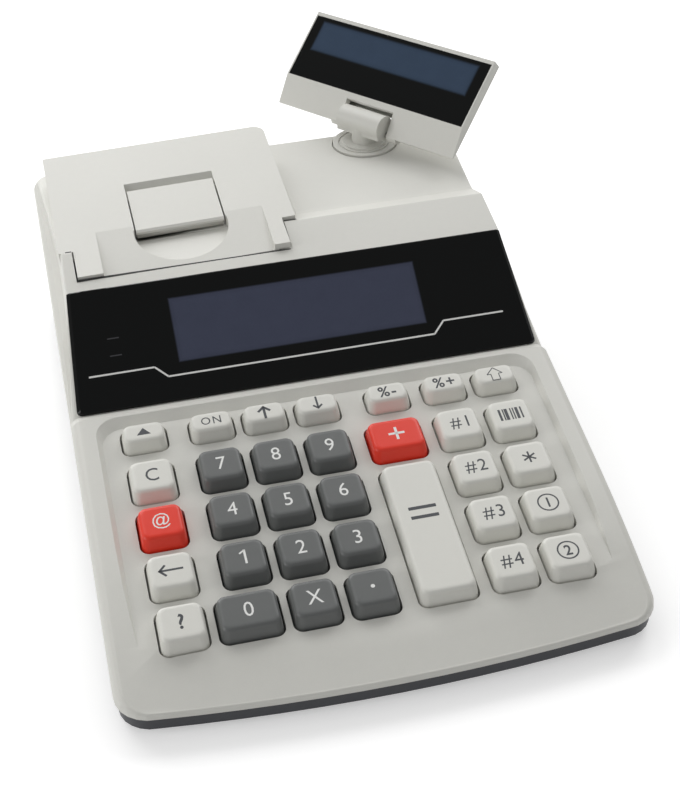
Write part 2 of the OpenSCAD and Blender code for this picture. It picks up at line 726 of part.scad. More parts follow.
module lid_space() {
    under = lid_t + seat_gap + 0.2;
    under_lid(-120, lid_right + lid_gap, lid_front - lid_seam, lid_rear + 10, under, under, 24);
    under_lid(tongue_left - lid_gap, tongue_right + lid_gap, tongue_front - lid_seam, lid_front + 1, under, under, 12);
    under_lid(ramp_left - tray_wall - lid_gap, ramp_right + tray_wall + lid_gap,
        tongue_front - lid_seam, lid_front + 1, tray_deep + 0.5, tray_deep + 0.5, 12);
    // Room behind the hinge's barrel, where the lid's rear edge swings down
    side_prism(-120, lid_right + lid_gap + tower_steps[0][1]) difference() {
        intersection() {
            translate([hinge_y, hinge_z]) circle(r = lid_swing + lid_gap, $fn = 96);
            translate([hinge_y, shelf_z + seat_gap]) square([2 * lid_swing, 4 * lid_swing]);
        }
        translate([hinge_y, hinge_z]) circle(r = hinge_under - lid_gap, $fn = 64);
        translate([hinge_y, shelf_z - 5]) square([hinge_under - lid_gap, hinge_z - shelf_z + 5]);
    }
    // Relief for the hinge lugs
    for (x = hinge_lugs)
        translate([x, 0, 0]) side_prism(-lug_half - 0.5, lug_half + 0.5) {
            translate([hinge_y, hinge_z]) circle(r = norm([hinge_lug_r, hinge_under]) + 0.5, $fn = 48);
            translate([bay_rear - 1, hinge_z - hinge_lug_r - 0.5]) square([hinge_y - bay_rear + 1, 20]);
        }
    translate([0, hinge_y, hinge_z]) rod_between(hinge_r + 0.02, bay_left - 3, bay_right + 3);
}

lug_half = 2.5;
hinge_lug_r = 2.9;
hinge_lugs = [bay_left + 8, bay_right - 8];

// ---------------------------------------------------------------- case shells

// Screws and the bosses that they turn into
boss_x = seam_half - 11.5;
case_bosses = [
    [-boss_x, corner_y + 8], [boss_x, corner_y + 8],
    [-boss_x, deck_y(window_y, 0) - 6], [boss_x, deck_y(window_y, 0) - 6],
    [-boss_x + 2, seam_rear - 10], [boss_x - 2, seam_rear - 10]];
boss_r = 4;
screw_r = 1.5;
screw_head_r = 2.9;
boss_foot = seam_z + 3;

// Posts under the deck that carry the keypad board, between the flanges of the keys
post_x = [col_x(0) + (key_w + group_gap) / 2, col_x(3) + (key_w + total_gap) / 2];
post_y = [row_y(0) + row_pitch / 2, row_y(1) - row_pitch / 2];
post_r = min(1.7, total_gap / 2 - flange_w - 0.5);

// Rear sockets: [x, half width, height, body depth]
sockets = [[26, 4.5, 9, 12], [44, 8.5, 12, 14], [66, 6.6, 13, 14]];
board_z = foot_h + wall + 7;
socket_foot = board_z + board_t;
socket_wall = 1;
socket_deep = 7;

// Boss around the turret's stem
bearing_r = stem_r + 3;
bearing_l = 7;

module upper_case() {
    color(shell_colour) in_frame() {
        difference() {
            union() {
                case_skin();
                tower();
            }
            case_inside();
            keypad_recess();
            key_apertures();
            window_pocket();
            lid_seat();
            // Swivel disc's recess, its groove and the stem's bore
            translate([turret_x, turret_y, shelf_z - disc_sink - seat_gap])
                cylinder(r = disc_r + 0.5, h = 10, $fn = 64);
            translate([turret_x, turret_y, shelf_z - 20])
                cylinder(r = stem_r + run_fit, h = 30, $fn = 64);
            for (s = sockets)
                translate([s[0] - s[1] - 0.6, seam_rear - 8, socket_foot - 0.6])
                    cube([2 * s[1] + 1.2, 20, s[2] + 1.2]);
        }
        difference() {
            translate([turret_x, turret_y, inner_shelf_z - bearing_l])
                cylinder(r = bearing_r, h = bearing_l + 0.8, $fn = 64);
            translate([turret_x, turret_y, shelf_z - 20])
                cylinder(r = stem_r + run_fit, h = 30, $fn = 64);
        }
        for (i = [0 : len(case_bosses) - 1])
            translate([case_bosses[i][0], case_bosses[i][1], boss_foot])
                difference() {
                    cylinder(r = boss_r, h = case_boss_top(i) - boss_foot, $fn = 32);
                    translate([0, 0, -1]) cylinder(r = screw_r + 0.02, h = 4, $fn = 32);
                }
        for (x = post_x, y = post_y)
            on_deck() translate([x, y, board_top])
                cylinder(r = post_r, h = deck_top - board_top - 1, $fn = 32);
    }
}

// Height at which a boss ends inside the shell above it
function case_boss_top(i) = let (y = case_bosses[i][1])
    y < 0 ? apron_z(y - side_bow) - wall : (y < shelf_front ? deck_z(y / cos(deck_tilt), deck_top) : shelf_z) - wall / 2;

// Base: a tray whose rim stands a little inside the top shell
base_in = 1.2;
tongue_in = wall + 0.3;
module lower_case() {
    color(dark_colour) in_frame() difference() {
        union() {
            difference() {
                translate([0, 0, foot_h]) linear_extrude(base_h) plan(base_in);
                translate([0, 0, foot_h + wall]) linear_extrude(base_h) plan(base_in + wall + 1.6);
            }
            difference() {
                translate([0, 0, foot_h + 1]) linear_extrude(base_h + 1.4) plan(tongue_in);
                translate([0, 0, foot_h + wall]) linear_extrude(base_h + 2) plan(tongue_in + 1.8);
            }
            for (p = case_bosses)
                translate([p[0], p[1], foot_h + 1]) cylinder(r = boss_r, h = boss_foot - foot_h - 1, $fn = 32);
            for (p = board_posts)
                translate([p[0], p[1], foot_h + 1]) cylinder(r = 3, h = board_z - foot_h - 1, $fn = 32);
            // Rim round the battery opening
            translate([battery_x, battery_y, foot_h + 1])
                linear_extrude(4.5) square([battery_w + 2 * 2.3, battery_l + 2 * 2.3], center = true);
        }
        for (p = case_bosses) {
            translate([p[0], p[1], foot_h - 1]) cylinder(r = screw_r + 0.2, h = 20, $fn = 32);
            translate([p[0], p[1], foot_h - 1]) cylinder(r = screw_head_r + 0.4, h = 4, $fn = 32);
        }
        for (p = feet) translate([p[0], p[1], foot_h - 1]) cylinder(r = foot_r + 0.15, h = 1.8, $fn = 48);
        translate([battery_x, battery_y, foot_h - 1])
            linear_extrude(12) square([battery_w + 0.8, battery_l + 0.8], center = true);
        translate([battery_x, battery_y, foot_h - 1])
            linear_extrude(1 + door_t + 0.1) square([battery_w + 2 * door_lap, battery_l + 2 * door_lap], center = true);
        // Slots that let air in under the board
        for (i = [0 : 5])
            translate([34 + i * 6, 96, foot_h - 1]) linear_extrude(wall + 2) square([2.4, 30]);
    }
}

feet_y = [corner_y + 20, seam_rear - 24];
feet = [for (x = [-1, 1], y = feet_y) [x * (seam_half - 24), y]];
module rubber_feet() {
    color(black_colour) in_frame()
        for (p = feet) translate([p[0], p[1], 0]) cylinder(r = foot_r, h = foot_h + 0.8, $fn = 48);
}

module case_screws() {
    color(steel_colour) in_frame()
        for (p = case_bosses) translate([p[0], p[1], foot_h + 0.6]) {
            cylinder(r = screw_head_r, h = 2.4, $fn = 32);
            cylinder(r = screw_r, h = boss_foot - foot_h + 2, $fn = 32);
        }
}

// ---------------------------------------------------------------- battery

battery_w = 70;
battery_l = 52;
battery_x = -38;
battery_y = 34;
battery_t = 14;
door_t = 1.6;
door_lap = 1.4;
module battery_door() {
    color(dark_colour) in_frame() translate([battery_x, battery_y, foot_h]) {
        linear_extrude(door_t)
            square([battery_w + 2 * door_lap - 0.6, battery_l + 2 * door_lap - 0.6], center = true);
        // Ribs that keep it in the opening
        translate([0, 0, door_t - 0.2])
            linear_extrude(1.2) square([battery_w - 4, 3], center = true);
    }
}

module battery_pack() {
    color([0.2, 0.3, 0.5]) in_frame()
        translate([battery_x, battery_y, foot_h + door_t + 1])
            linear_extrude(battery_t) round_rect(battery_w, battery_l, 4, 32);
}

// ---------------------------------------------------------------- operator window

// Slab whose ends follow the side walls and slope down to them, with a plug that fills the pocket
module display_window() {
    // Each level of the slab: [height, inset of the two ends, inset of the long edges]
    levels = [[-window_proud, 0, 0], [-0.5, 0.75, 0], [0, 1.3, 0.5]];
    foot_r = 2;
    head_r = 0.6;
    color(black_colour) in_frame() at_window() {
        hull()
            for (level = levels, side = [-1, 1]) {
                translate([side * (window_foot_half - level[1] - foot_r), level[2] + foot_r, level[0]])
                    cylinder(r = foot_r, h = 0.01, $fn = 32);
                translate([side * (window_half - level[1] - head_r), window_l - level[2] - head_r, level[0]])
                    cylinder(r = head_r, h = 0.01, $fn = 16);
            }
        translate([-window_half + plug_in + pocket_clear, plug_in + pocket_clear, -window_t])
            cube([2 * (window_half - plug_in - pocket_clear), window_l - 2 * plug_in - 2 * pocket_clear,
                window_t - window_proud + 0.2]);
    }
}

module operator_display() {
    lcd_t = 2.8;
    color(board_colour) in_frame() at_window() {
        translate([-lcd_w / 2 - 1, lcd_from - 1, -window_t - lcd_t]) cube([lcd_w + 2, lcd_d + 2, lcd_t]);
        translate([-lcd_w / 2 - 8, lcd_from - 4, -window_under - board_t - 0.4])
            cube([lcd_w + 16, lcd_d + 8, board_t]);
        translate([-lcd_w / 2 + 6, lcd_from + 2, -window_under - 1])
            cube([lcd_w - 12, lcd_d - 4, window_under - window_t - 1]);
    }
}

// ---------------------------------------------------------------- keypad inside

module keypad_sheet(thick, z, hole_r) {
    x0 = col_x(0) - key_w / 2 - 2;
    x1 = col_x(6) + key_w / 2 + 2;
    y0 = row_y(3) - key_d / 2 - 2;
    y1 = fn_row_y + fn_key_d / 2 + 2;
    on_deck() translate([0, 0, z]) difference() {
        translate([x0, y0, 0]) cube([x1 - x0, y1 - y0, thick]);
        if (hole_r > 0)
            for (x = post_x, y = post_y) translate([x, y, -1]) cylinder(r = hole_r, h = thick + 2, $fn = 32);
    }
}

module keypad_mat() {
    color([0.75, 0.75, 0.73]) in_frame() {
        keypad_sheet(mat_t, board_top, post_r + 0.4);
        for (key = all_keys)
            on_deck() translate([key[0], key[1], board_top + mat_t - 0.1])
                cylinder(r = 4, h = pad_h + 0.1, $fn = 24);
    }
}

module keypad_board() {
    color(board_colour) in_frame() {
        keypad_sheet(board_t, board_top - board_t, 0);
        on_deck() translate([20, row_y(0), board_top - board_t - 3]) cube([24, 6, 3.2]);
    }
}

// ---------------------------------------------------------------- main board

board_x0 = 12;
board_x1 = seam_half - 20;
board_y0 = 70;
board_y1 = seam_rear - wall - 1.4;
board_posts = [for (x = [board_x0 + 6, board_x1 - 12], y = [board_y0 + 6, board_y1 - 24]) [x, y]];
module main_board() {
    color(board_colour) in_frame() {
        translate([board_x0, board_y0, board_z]) cube([board_x1 - board_x0, board_y1 - board_y0, board_t]);
        // Sockets: a round one with a pin for power and two square ones for data
        for (i = [0 : len(sockets) - 1])
            let (s = sockets[i])
            translate([s[0], board_y1, socket_foot]) difference() {
                translate([-s[1], -s[3], -0.2]) cube([2 * s[1], s[3], s[2] + 0.2]);
                if (i == 0)
                    translate([0, 0, s[2] / 2]) rotate([90, 0, 0]) difference() {
                        cylinder(r = s[1] - socket_wall, h = 2 * socket_deep, center = true, $fn = 48);
                        cylinder(r = 1, h = 2 * socket_deep + 1, center = true, $fn = 32);
                    }
                else
                    translate([socket_wall - s[1], -socket_deep, socket_wall])
                        cube([2 * (s[1] - socket_wall), socket_deep + 1, s[2] - 2 * socket_wall]);
            }
        // Chips, a coil and a row of capacitors
        translate([30, 100, board_z + 1]) cube([22, 22, 2.6]);
        translate([60, 96, board_z + 1]) cube([14, 9, 3.4]);
        translate([58, 126, board_z + 1]) cube([12, 12, 8]);
        for (i = [0 : 3])
            translate([24 + i * 13, 152, board_z + 1]) cylinder(r = 4, h = 12, $fn = 32);
    }
}

// ---------------------------------------------------------------- printer

plate_x = frame_half - frame_wall;
plate_low = foot_h + wall;
plate_front = platen_y - 12;
plate_rear = roll_y + roll_r + 3;
plate_top = platen_z + platen_r - 0.6;
latch_y = flap_rear - 3;
latch_z = lid_z(latch_y) - 3.2;
latch_arm = 9;
catch_back = 4;
catch_drop = 8;
catch_y = latch_y + catch_back;
catch_z = latch_z - catch_drop;

module printer_frame() {
    tub_r = roll_r + 1.2;
    color(dark_colour) in_frame() translate([printer_x, 0, 0]) {
        for (side = [-1, 1])
            difference() {
                translate([side > 0 ? plate_x : -frame_half, 0, 0]) side_prism(0, frame_wall) polygon([
                    [plate_front, plate_low], [plate_rear - 6, plate_low], [plate_rear, plate_low + 14],
                    [plate_rear, roll_z + 8], [catch_y + 5, catch_z + 3], [catch_y - 4, catch_z + 3],
                    [ramp_rear + 2, plate_top], [plate_front, plate_top]]);
                translate([0, platen_y, platen_z]) rod_between(shaft_r + run_fit, side > 0 ? 20 : -50, side > 0 ? 50 : -20);
                if (side > 0)
                    translate([0, motor_y, motor_z]) rod_between(3.2, 20, 50);
            }
        // Tub for the paper roll
        difference() {
            translate([0, roll_y, roll_z]) rod_between(tub_r + tub_t, -plate_x - 0.5, plate_x + 0.5);
            translate([0, roll_y, roll_z]) rod_between(tub_r, -plate_x - 2, plate_x + 2);
            translate([-60, roll_y - 60, roll_z + 6]) cube([120, 120, 60]);
        }
        // Floor bar and head bracket
        translate([-plate_x - 0.5, plate_front, plate_low]) cube([2 * plate_x + 1, 50, 2]);
        translate([-plate_x - 0.5, head_y - 5.6, platen_z - 12]) cube([2 * plate_x + 1, 1.6, 10]);
        // Pegs that the latch arms stand against
        for (side = [-1, 1])
            translate([0, catch_y, catch_z])
                rod_between(1.4, side > 0 ? frame_half - 0.5 : -frame_half - 2.6, side > 0 ? frame_half + 2.6 : 0.5 - frame_half);
    }
}

// The head is a thin heated plate on a thick metal bar
heat_plate_t = 1.2;
heat_plate_h = 13;
heat_plate_under = 8;
heat_sink_d = 3.7;
heat_sink_h = 12;
heat_sink_in = 2;

module print_head() {
    color(steel_colour) in_frame() translate([printer_x, 0, 0]) {
        translate([-paper_w / 2, head_y - heat_plate_t / 3, platen_z - heat_plate_under])
            cube([paper_w, heat_plate_t, heat_plate_h]);
        translate([-paper_w / 2 + heat_sink_in, head_y - heat_sink_d - 0.3, platen_z - heat_plate_under - heat_sink_in])
            cube([paper_w - 2 * heat_sink_in, heat_sink_d, heat_sink_h]);
    }
}

shaft_right = frame_half + gear_gap + gear_w;
module platen_roller() {
    color([0.15, 0.15, 0.16]) in_frame() translate([printer_x, platen_y, platen_z]) {
        rod_between(platen_r, -platen_l / 2, platen_l / 2);
        rod_between(shaft_r, -frame_half - 0.5, shaft_right);
    }
}

gear_x = frame_half + gear_gap + gear_w / 2;
module platen_gear() {
    color([0.85, 0.84, 0.78]) in_frame()
        translate([printer_x + gear_x, platen_y, platen_z]) spur_gear(platen_teeth, gear_w - 0.4, shaft_r + 0.02);
}

// The motor gear is turned so that its tooth faces a gap of the platen gear.
platen_phase = motor_turn * platen_teeth / 360;
mesh_turn = 180 - motor_turn - (0.5 + platen_phase) * 360 / motor_teeth;
module motor_gear() {
    color([0.85, 0.84, 0.78]) in_frame() translate([printer_x, motor_y, motor_z]) {
        translate([gear_x, 0, 0]) rotate([mesh_turn, 0, 0]) spur_gear(motor_teeth, gear_w - 0.4, motor_shaft_r + 0.02);
        rod_between(motor_shaft_r, plate_x - motor_l + 3, shaft_right);
    }
}

module paper_motor() {
    color(steel_colour) in_frame() translate([printer_x, motor_y, motor_z]) difference() {
        union() {
            rod_between(motor_r, plate_x - motor_l, plate_x);
            rod_between(3, plate_x - 0.5, frame_half);
            // Mounting ear
            translate([plate_x - 1.2, -3.5, -motor_r - 5]) cube([1.2, 7, motor_r + 5]);
        }
        rod_between(motor_shaft_r + run_fit, plate_x - motor_l + 2, shaft_right + 1);
    }
}

// ---------------------------------------------------------------- printer lid

module lid_plan() {
    // Wide part, then the tongue in front of it
    wide = lid_right - lid_left;
    translate([lid_left, lid_front]) square([wide - lid_corner, lid_rear - lid_front]);
    translate([lid_left, lid_front]) square([wide, lid_rear - lid_front - lid_corner]);
    translate([lid_right - lid_corner, lid_rear - lid_corner]) circle(r = lid_corner, $fn = 64);
    translate([tongue_left, tongue_front]) square([tongue_right - tongue_left, lid_front - tongue_front + 1]);
}

module printer_lid() {
    color(shell_colour) in_frame() roll_lid() difference() {
        union() {
            intersection() {
                translate([0, 0, 60]) linear_extrude(40) lid_plan();
                under_lid(-120, 60, tongue_front - 5, lid_rear + 5, lid_t, lid_t);
            }
            // Tray under the ramp and the flap
            under_lid(ramp_left - tray_wall, ramp_right + tray_wall, tongue_front, well_rear + tray_wall, tray_deep, tray_deep);
            under_lid(flap_left - 6, flap_right + 6, scoop_front, well_rear + tray_wall, scoop_deep + tray_wall, scoop_deep + tray_wall);
            // Lugs for the hinge pin and for the latch
            for (x = hinge_lugs)
                translate([x, 0, 0]) side_prism(-lug_half, lug_half) {
                    translate([hinge_y, hinge_z]) circle(r = hinge_lug_r, $fn = 48);
                    polygon([
                        [hinge_y - hinge_lug_r, hinge_z], [hinge_y + hinge_lug_r, hinge_z],
                        [hinge_y + hinge_lug_r, lid_z(hinge_y) - 1], [hinge_y - hinge_lug_r, lid_z(hinge_y) - 1]]);
                }
        }
        // Ramp, finger scoop and the well that the flap lies in
        under_lid(ramp_left, ramp_right, tongue_front - 1, ramp_rear, ramp_depth, 0, 2);
        intersection() {
            under_lid(printer_x - scoop_r, printer_x + scoop_r, scoop_front, flap_front + 1, ramp_depth, scoop_deep, 2);
            translate([printer_x, scoop_front + scoop_r, 60]) cylinder(r = scoop_r, h = 40, $fn = 96);
        }
        under_lid(flap_left - lid_gap, flap_right + lid_gap, flap_front - 0.5, flap_rear + 1, scoop_deep, scoop_deep, 2);
        side_prism(flap_left - lid_gap, flap_right + lid_gap) polygon([
            [flap_rear, lid_z(flap_rear) - scoop_deep], [flap_rear + 1, lid_z(flap_rear) - scoop_deep],
            [well_rear + 1, lid_z(well_rear) + 1], [flap_rear, lid_z(flap_rear) + 1]]);
        // Slots for the latch arms and the bore for its pivot
        for (side = [-1, 1])
            translate([printer_x, 0, 0])
                side_prism(side * (frame_half + 1.9) - 1.9, side * (frame_half + 1.9) + 1.9)
                    polygon([[latch_y - 7, latch_z - 12], [latch_y + 3, latch_z - 12], [latch_y + 3, latch_z + 1.9], [latch_y - 7, latch_z + 1.9]]);
        translate([printer_x, latch_y, latch_z]) rod_between(flap_pivot_r + run_fit, -frame_half - 3, frame_half + 3);
        translate([0, hinge_y, hinge_z]) rod_between(hinge_r + run_fit, bay_left - 20, bay_right + 20);
    }
}

module lid_latch() {
    flap_t = 2.2;
    sunk = 0.4;
    color(shell_colour) in_frame() roll_lid() {
        side_prism(flap_left, flap_right) polygon([
            [flap_front + 1.2, lid_z(flap_front) - sunk], [flap_rear, lid_z(flap_rear) - sunk],
            [flap_rear, lid_z(flap_rear) - sunk - flap_t], [flap_front + 1.2, lid_z(flap_front) - sunk - flap_t],
            [flap_front + 0.2, lid_z(flap_front) - sunk - flap_t * 0.7], [flap_front + 0.2, lid_z(flap_front) - sunk - flap_t * 0.3]]);
        translate([printer_x, latch_y, latch_z]) rod_between(flap_pivot_r, -frame_half - 2.2, frame_half + 2.2);
        for (side = [-1, 1])
            translate([printer_x, 0, 0])
                side_prism(side * (frame_half + 1.7) - 0.9, side * (frame_half + 1.7) + 0.9) polygon([
                    [latch_y - 1.5, latch_z], [latch_y + 1.5, latch_z],
                    [latch_y + 1.5, latch_z - latch_arm], [latch_y - 1.5, latch_z - latch_arm]]);
    }
}

module lid_hinge_pin() {
    color(steel_colour) in_frame() roll_lid()
        translate([0, hinge_y, hinge_z]) rod_between(hinge_r, bay_left - 2.5, bay_right + 2.5);
}

// ---------------------------------------------------------------- customer display

module display_turret() {
    groove = 0.5;
    color(shell_colour) in_frame() {
        translate([turret_x, turret_y, shelf_z - disc_sink]) difference() {
            union() {
                cylinder(r = disc_r, h = disc_t, $fn = 96);
                cylinder(r = disc_r - 4.5, h = disc_t + 0.8, $fn = 96);
                cylinder(r = knuckle_r, h = knuckle_z + disc_sink - 1, $fn = 64);
                translate([0, 0, -wall - bearing_l - 4.8]) cylinder(r = stem_r, h = wall + bearing_l + 5, $fn = 64);
            }
            // Groove round the disc
            translate([0, 0, disc_t - groove]) difference() {
                cylinder(r = disc_r - 2.4, h = 2, $fn = 96);
                translate([0, 0, -1]) cylinder(r = disc_r - 3.2, h = 4, $fn = 96);
            }
            translate([0, 0, tilt_z - shelf_z + disc_sink]) rotate([0, 0, swivel_rest]) translate([0, pin_behind, 0])
                rod_x(tilt_pin_r + run_fit, 60);
        }
        head_turn() difference() {
            union() {
                rod_x(pin_boss_r, knuckle_l);
                translate([0, -pin_behind, pin_drop]) {
                    rod_x(knuckle_r, knuckle_l);
                    translate([-knuckle_l / 2, -knuckle_r + 0.6, -knuckle_r + 1.4]) cube([knuckle_l, 3, knuckle_r]);
                }
            }
            rod_x(tilt_pin_r + run_fit, 60);
        }
    }
}

module turret_nut() {
    color(steel_colour) in_frame()
        translate([turret_x, turret_y, shelf_z - wall - bearing_l - 3.3]) difference() {
            cylinder(r = stem_r + 3, h = 3, $fn = 48);
            translate([0, 0, -1]) cylinder(r = stem_r + 0.02, h = 6, $fn = 64);
        }
}

lug_x = knuckle_l / 2 + notch_clear;
pin_half = lug_x + lug_l - 1;
module tilt_pin() {
    color(steel_colour) in_frame() head_turn() rod_x(tilt_pin_r, 2 * pin_half);
}

// Head in side view: x is the depth, with the face at face_y, and y the height
chin_back = (chin_top - head_foot) * tan(chin_lean);
split_y = face_y + head_t;
head_view = [
    [split_y, head_foot], [face_y + chin_back, head_foot], [face_y, chin_top], [face_y, head_top], [split_y, head_top]];
front_half = head_w / 2;
panel_w = head_w - 1.4;
panel_t = 1.4;
panel_seat = 2.2;

module head_front() {
    color(shell_colour) in_frame() head_place() {
        difference() {
            side_prism(-front_half, front_half) polygon(head_view);
            // Seat of the window panel and the opening behind it
            translate([-panel_w / 2, face_y - 1, chin_top + 0.1]) cube([panel_w, panel_t + 1.1, head_window_h - 0.2]);
            translate([-panel_w / 2 + panel_seat, face_y, chin_top + panel_seat])
                cube([panel_w - 2 * panel_seat, 10, head_window_h - 2 * panel_seat]);
            // Hollow chin
            side_prism(-front_half + head_wall, front_half - head_wall) polygon([
                [split_y + 1, head_foot + head_wall], [face_y + chin_back + head_wall + 0.4, head_foot + head_wall],
                [face_y + head_wall + panel_t, chin_top - 1.2], [split_y + 1, chin_top - 1.2]]);
            head_notch();
        }
        head_lug();
        mirror([1, 0, 0]) head_lug();
    }
}

module head_notch() {
    translate([-knuckle_l / 2 - notch_clear, -20, head_foot - 5])
        cube([knuckle_l + 2 * notch_clear, 40, notch_top - head_foot + 5]);
}

// Lug beside the knuckle, with the bore that holds the tilt pin
module head_lug() {
    difference() {
        union() {
            rod_between(lug_r, lug_x, lug_x + lug_l);
            side_prism(lug_x, lug_x + lug_l) polygon([
                [split_y - 0.1, head_foot + 0.1], [face_y + chin_back + 0.6, head_foot + 0.1],
                [face_y + 0.8, chin_top - 2], [split_y - 0.1, chin_top - 2]]);
        }
        rod_between(tilt_pin_r + 0.02, lug_x - 1, pin_half + 0.1);
    }
}

// Back cover, tapering from the full outline to a flat back
module head_back() {
    back_y = face_y + head_deep;
    mid = (head_top + head_foot) / 2;
    half_h = (head_top - head_foot) / 2;
    taper = 9;
    back_side = front_half - 16;
    beyond_head = 200;
    color(shell_colour) in_frame() head_place() difference() {
        intersection() {
            linear_extrude(beyond_head, center = true) polygon([
                [-front_half, split_y], [front_half, split_y], [front_half, split_y + 0.8],
                [back_side, back_y], [-back_side, back_y], [-front_half, split_y + 0.8]]);
            side_prism(-60, 60) polygon([
                [split_y, head_foot], [split_y, head_top], [split_y + 0.8, head_top],
                [back_y, head_top - taper], [back_y, head_foot + taper + 6], [split_y + 0.8, head_foot]]);
        }
        intersection() {
            linear_extrude(beyond_head, center = true) polygon([
                [-front_half + head_wall, split_y - 1], [front_half - head_wall, split_y - 1], [front_half - head_wall, split_y + 0.4],
                [back_side - 1, back_y - head_wall], [1 - back_side, back_y - head_wall], [-front_half + head_wall, split_y + 0.4]]);
            side_prism(-60, 60) polygon([
                [split_y - 1, head_foot + head_wall], [split_y - 1, head_top - head_wall], [split_y + 0.4, head_top - head_wall],
                [back_y - head_wall, head_top - taper - 1], [back_y - head_wall, head_foot + taper + 7], [split_y + 0.4, head_foot + head_wall]]);
        }
        head_notch();
        // Room for the lugs
        rod_between(lug_r + seat_gap, lug_x - 0.5, lug_x + lug_l + seat_gap);
        rod_between(lug_r + seat_gap, -lug_x - lug_l - seat_gap, 0.5 - lug_x);
    }
}

module head_window() {
    color(black_colour) in_frame() head_place()
        translate([-panel_w / 2 + 0.1, face_y, chin_top + 0.2]) cube([panel_w - 0.2, panel_t, head_window_h - 0.4]);
}

module head_module() {
    color(board_colour) in_frame() head_place() {
        translate([-panel_w / 2 + panel_seat + 1, face_y + panel_t + 0.2, chin_top + panel_seat + 1])
            cube([panel_w - 2 * panel_seat - 2, 3, head_window_h - 2 * panel_seat - 2]);
        translate([-36, face_y + panel_t + 3, chin_top + 6]) cube([72, 3, 16]);
    }
}

// ---------------------------------------------------------------- drawing

lower_case();
upper_case();
rubber_feet();
case_screws();
display_window();
operator_display();
keypad_mat();
keypad_board();
main_board();
battery_pack();
battery_door();
printer_frame();
print_head();
platen_roller();
platen_gear();
paper_motor();
motor_gear();
printer_lid();
lid_latch();
lid_hinge_pin();
display_turret();
turret_nut();
tilt_pin();
head_front();
head_back();
head_window();
head_module();
key_eject();
key_on();
key_up();
key_down();
key_percent_minus();
key_percent_plus();
key_shift();
key_c();
key_price();
key_void();
key_lookup();
key_7();
key_4();
key_1();
key_0();
key_8();
key_5();
key_2();
key_multiply();
key_9();
key_6();
key_3();
key_point();
key_subtotal();
key_total();
key_department_1();
key_department_2();
key_department_3();
key_department_4();
key_barcode();
key_star();
key_payment_1();
key_payment_2();
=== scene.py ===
# %% [markdown]
# # A ticket register
# A counter-top register has a sloping keypad, a black window for the operator, a receipt printer
# under a lid and a small display on a post for the customer. Its solids come from the packed
# model, which is the fixed frame here. This lesson gives them rounded edges, moulded plastic,
# dark glass and printed legends, and lights them like a product on a white table.

# %% Load the frame
import json
import math

import bmesh
import bpy
from mathutils import Matrix, Vector


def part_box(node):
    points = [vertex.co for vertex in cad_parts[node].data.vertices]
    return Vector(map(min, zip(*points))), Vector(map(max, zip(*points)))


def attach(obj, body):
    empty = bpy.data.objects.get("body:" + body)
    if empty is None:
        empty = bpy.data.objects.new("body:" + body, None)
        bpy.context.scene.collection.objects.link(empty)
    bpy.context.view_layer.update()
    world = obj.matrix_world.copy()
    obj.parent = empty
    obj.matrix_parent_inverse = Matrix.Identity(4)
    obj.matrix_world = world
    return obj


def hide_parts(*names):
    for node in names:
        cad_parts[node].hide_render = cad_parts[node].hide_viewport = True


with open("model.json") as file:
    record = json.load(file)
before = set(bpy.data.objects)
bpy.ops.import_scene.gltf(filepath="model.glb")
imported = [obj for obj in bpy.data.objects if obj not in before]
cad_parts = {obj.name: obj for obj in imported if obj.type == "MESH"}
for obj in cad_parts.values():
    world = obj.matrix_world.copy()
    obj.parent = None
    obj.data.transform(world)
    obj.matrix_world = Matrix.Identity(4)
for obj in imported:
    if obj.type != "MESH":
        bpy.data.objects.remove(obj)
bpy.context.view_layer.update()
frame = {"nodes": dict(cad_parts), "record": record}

MM = 0.001
nodes = frame["nodes"]
held_by = frame["record"]["behaviour"]["bodies"]
body_of_node = {node: body for body, held in held_by.items() for node in held}
keys = sorted(name for name in nodes if name.startswith("key_"))


def points_of(name):
    """Points of a frame node's mesh, in metres"""
    return [vertex.co for vertex in nodes[name].data.vertices]


def in_mm(lengths):
    """Lengths given in metres, in millimetres and rounded for printing"""
    return [round(length / MM, 1) for length in lengths]


print("nodes:", len(nodes), "keys:", len(keys))

# %% [markdown]
# ## Where the keys are
# All the keys stand on one sloping deck. Working on a slope is easier after turning the whole deck
# level: then every cap is a plain box with a middle, a width and a depth. The sizes are measured
# from the frame's own keys, so a change of the model reaches every piece that is made here. A key
# has a flange at its foot, which is hidden under the deck and isn't counted in the cap's width.

# %% Measure the keys on the levelled deck
deck_tilt = math.radians(11)
to_deck = Matrix.Rotation(-deck_tilt, 4, "X")
from_deck = Matrix.Rotation(deck_tilt, 4, "X")
flange = 1.2 * MM


def measure_key(name):
    """Middle of the key's top, and the width and depth of its cap, on the levelled deck"""
    points = [to_deck @ point for point in points_of(name)]
    low = Vector(min(p[i] for p in points) for i in range(3))
    high = Vector(max(p[i] for p in points) for i in range(3))
    middle = (low + high) / 2
    return {
        "middle": Vector((middle.x, middle.y, high.z)),
        "width": high.x - low.x - 2 * flange,
        "depth": high.y - low.y - 2 * flange,
        "height": high.z - low.z,
    }


key_place = {name: measure_key(name) for name in keys}
keypad_x = (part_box("key_c")[0].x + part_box("key_barcode")[1].x) / 2
keypad = from_deck @ Vector((keypad_x, *key_place["key_8"]["middle"].yz))
print("middle of the keypad, on the tops of the digits 7 to 9:", in_mm(keypad), "mm")

# %% [markdown]
# ## Camera
# The camera stands in front of the register, to its left and well above it, and looks down at the
# keypad. A 72 mm lens keeps the sides nearly parallel, as in a catalogue picture. Its place is
# measured from the middle of the keypad, and its three directions are given by two of them: the
# third is square to both.

# %% Place the camera
camera_from_keypad = Vector((-88.82, -453.36, 353.9)) * MM
look = Vector((0.1601, 0.7943, -0.5861)).normalized()
right = Vector((0.974, -0.2237, -0.0371))
right = (right - look * right.dot(look)).normalized()
up = right.cross(look)

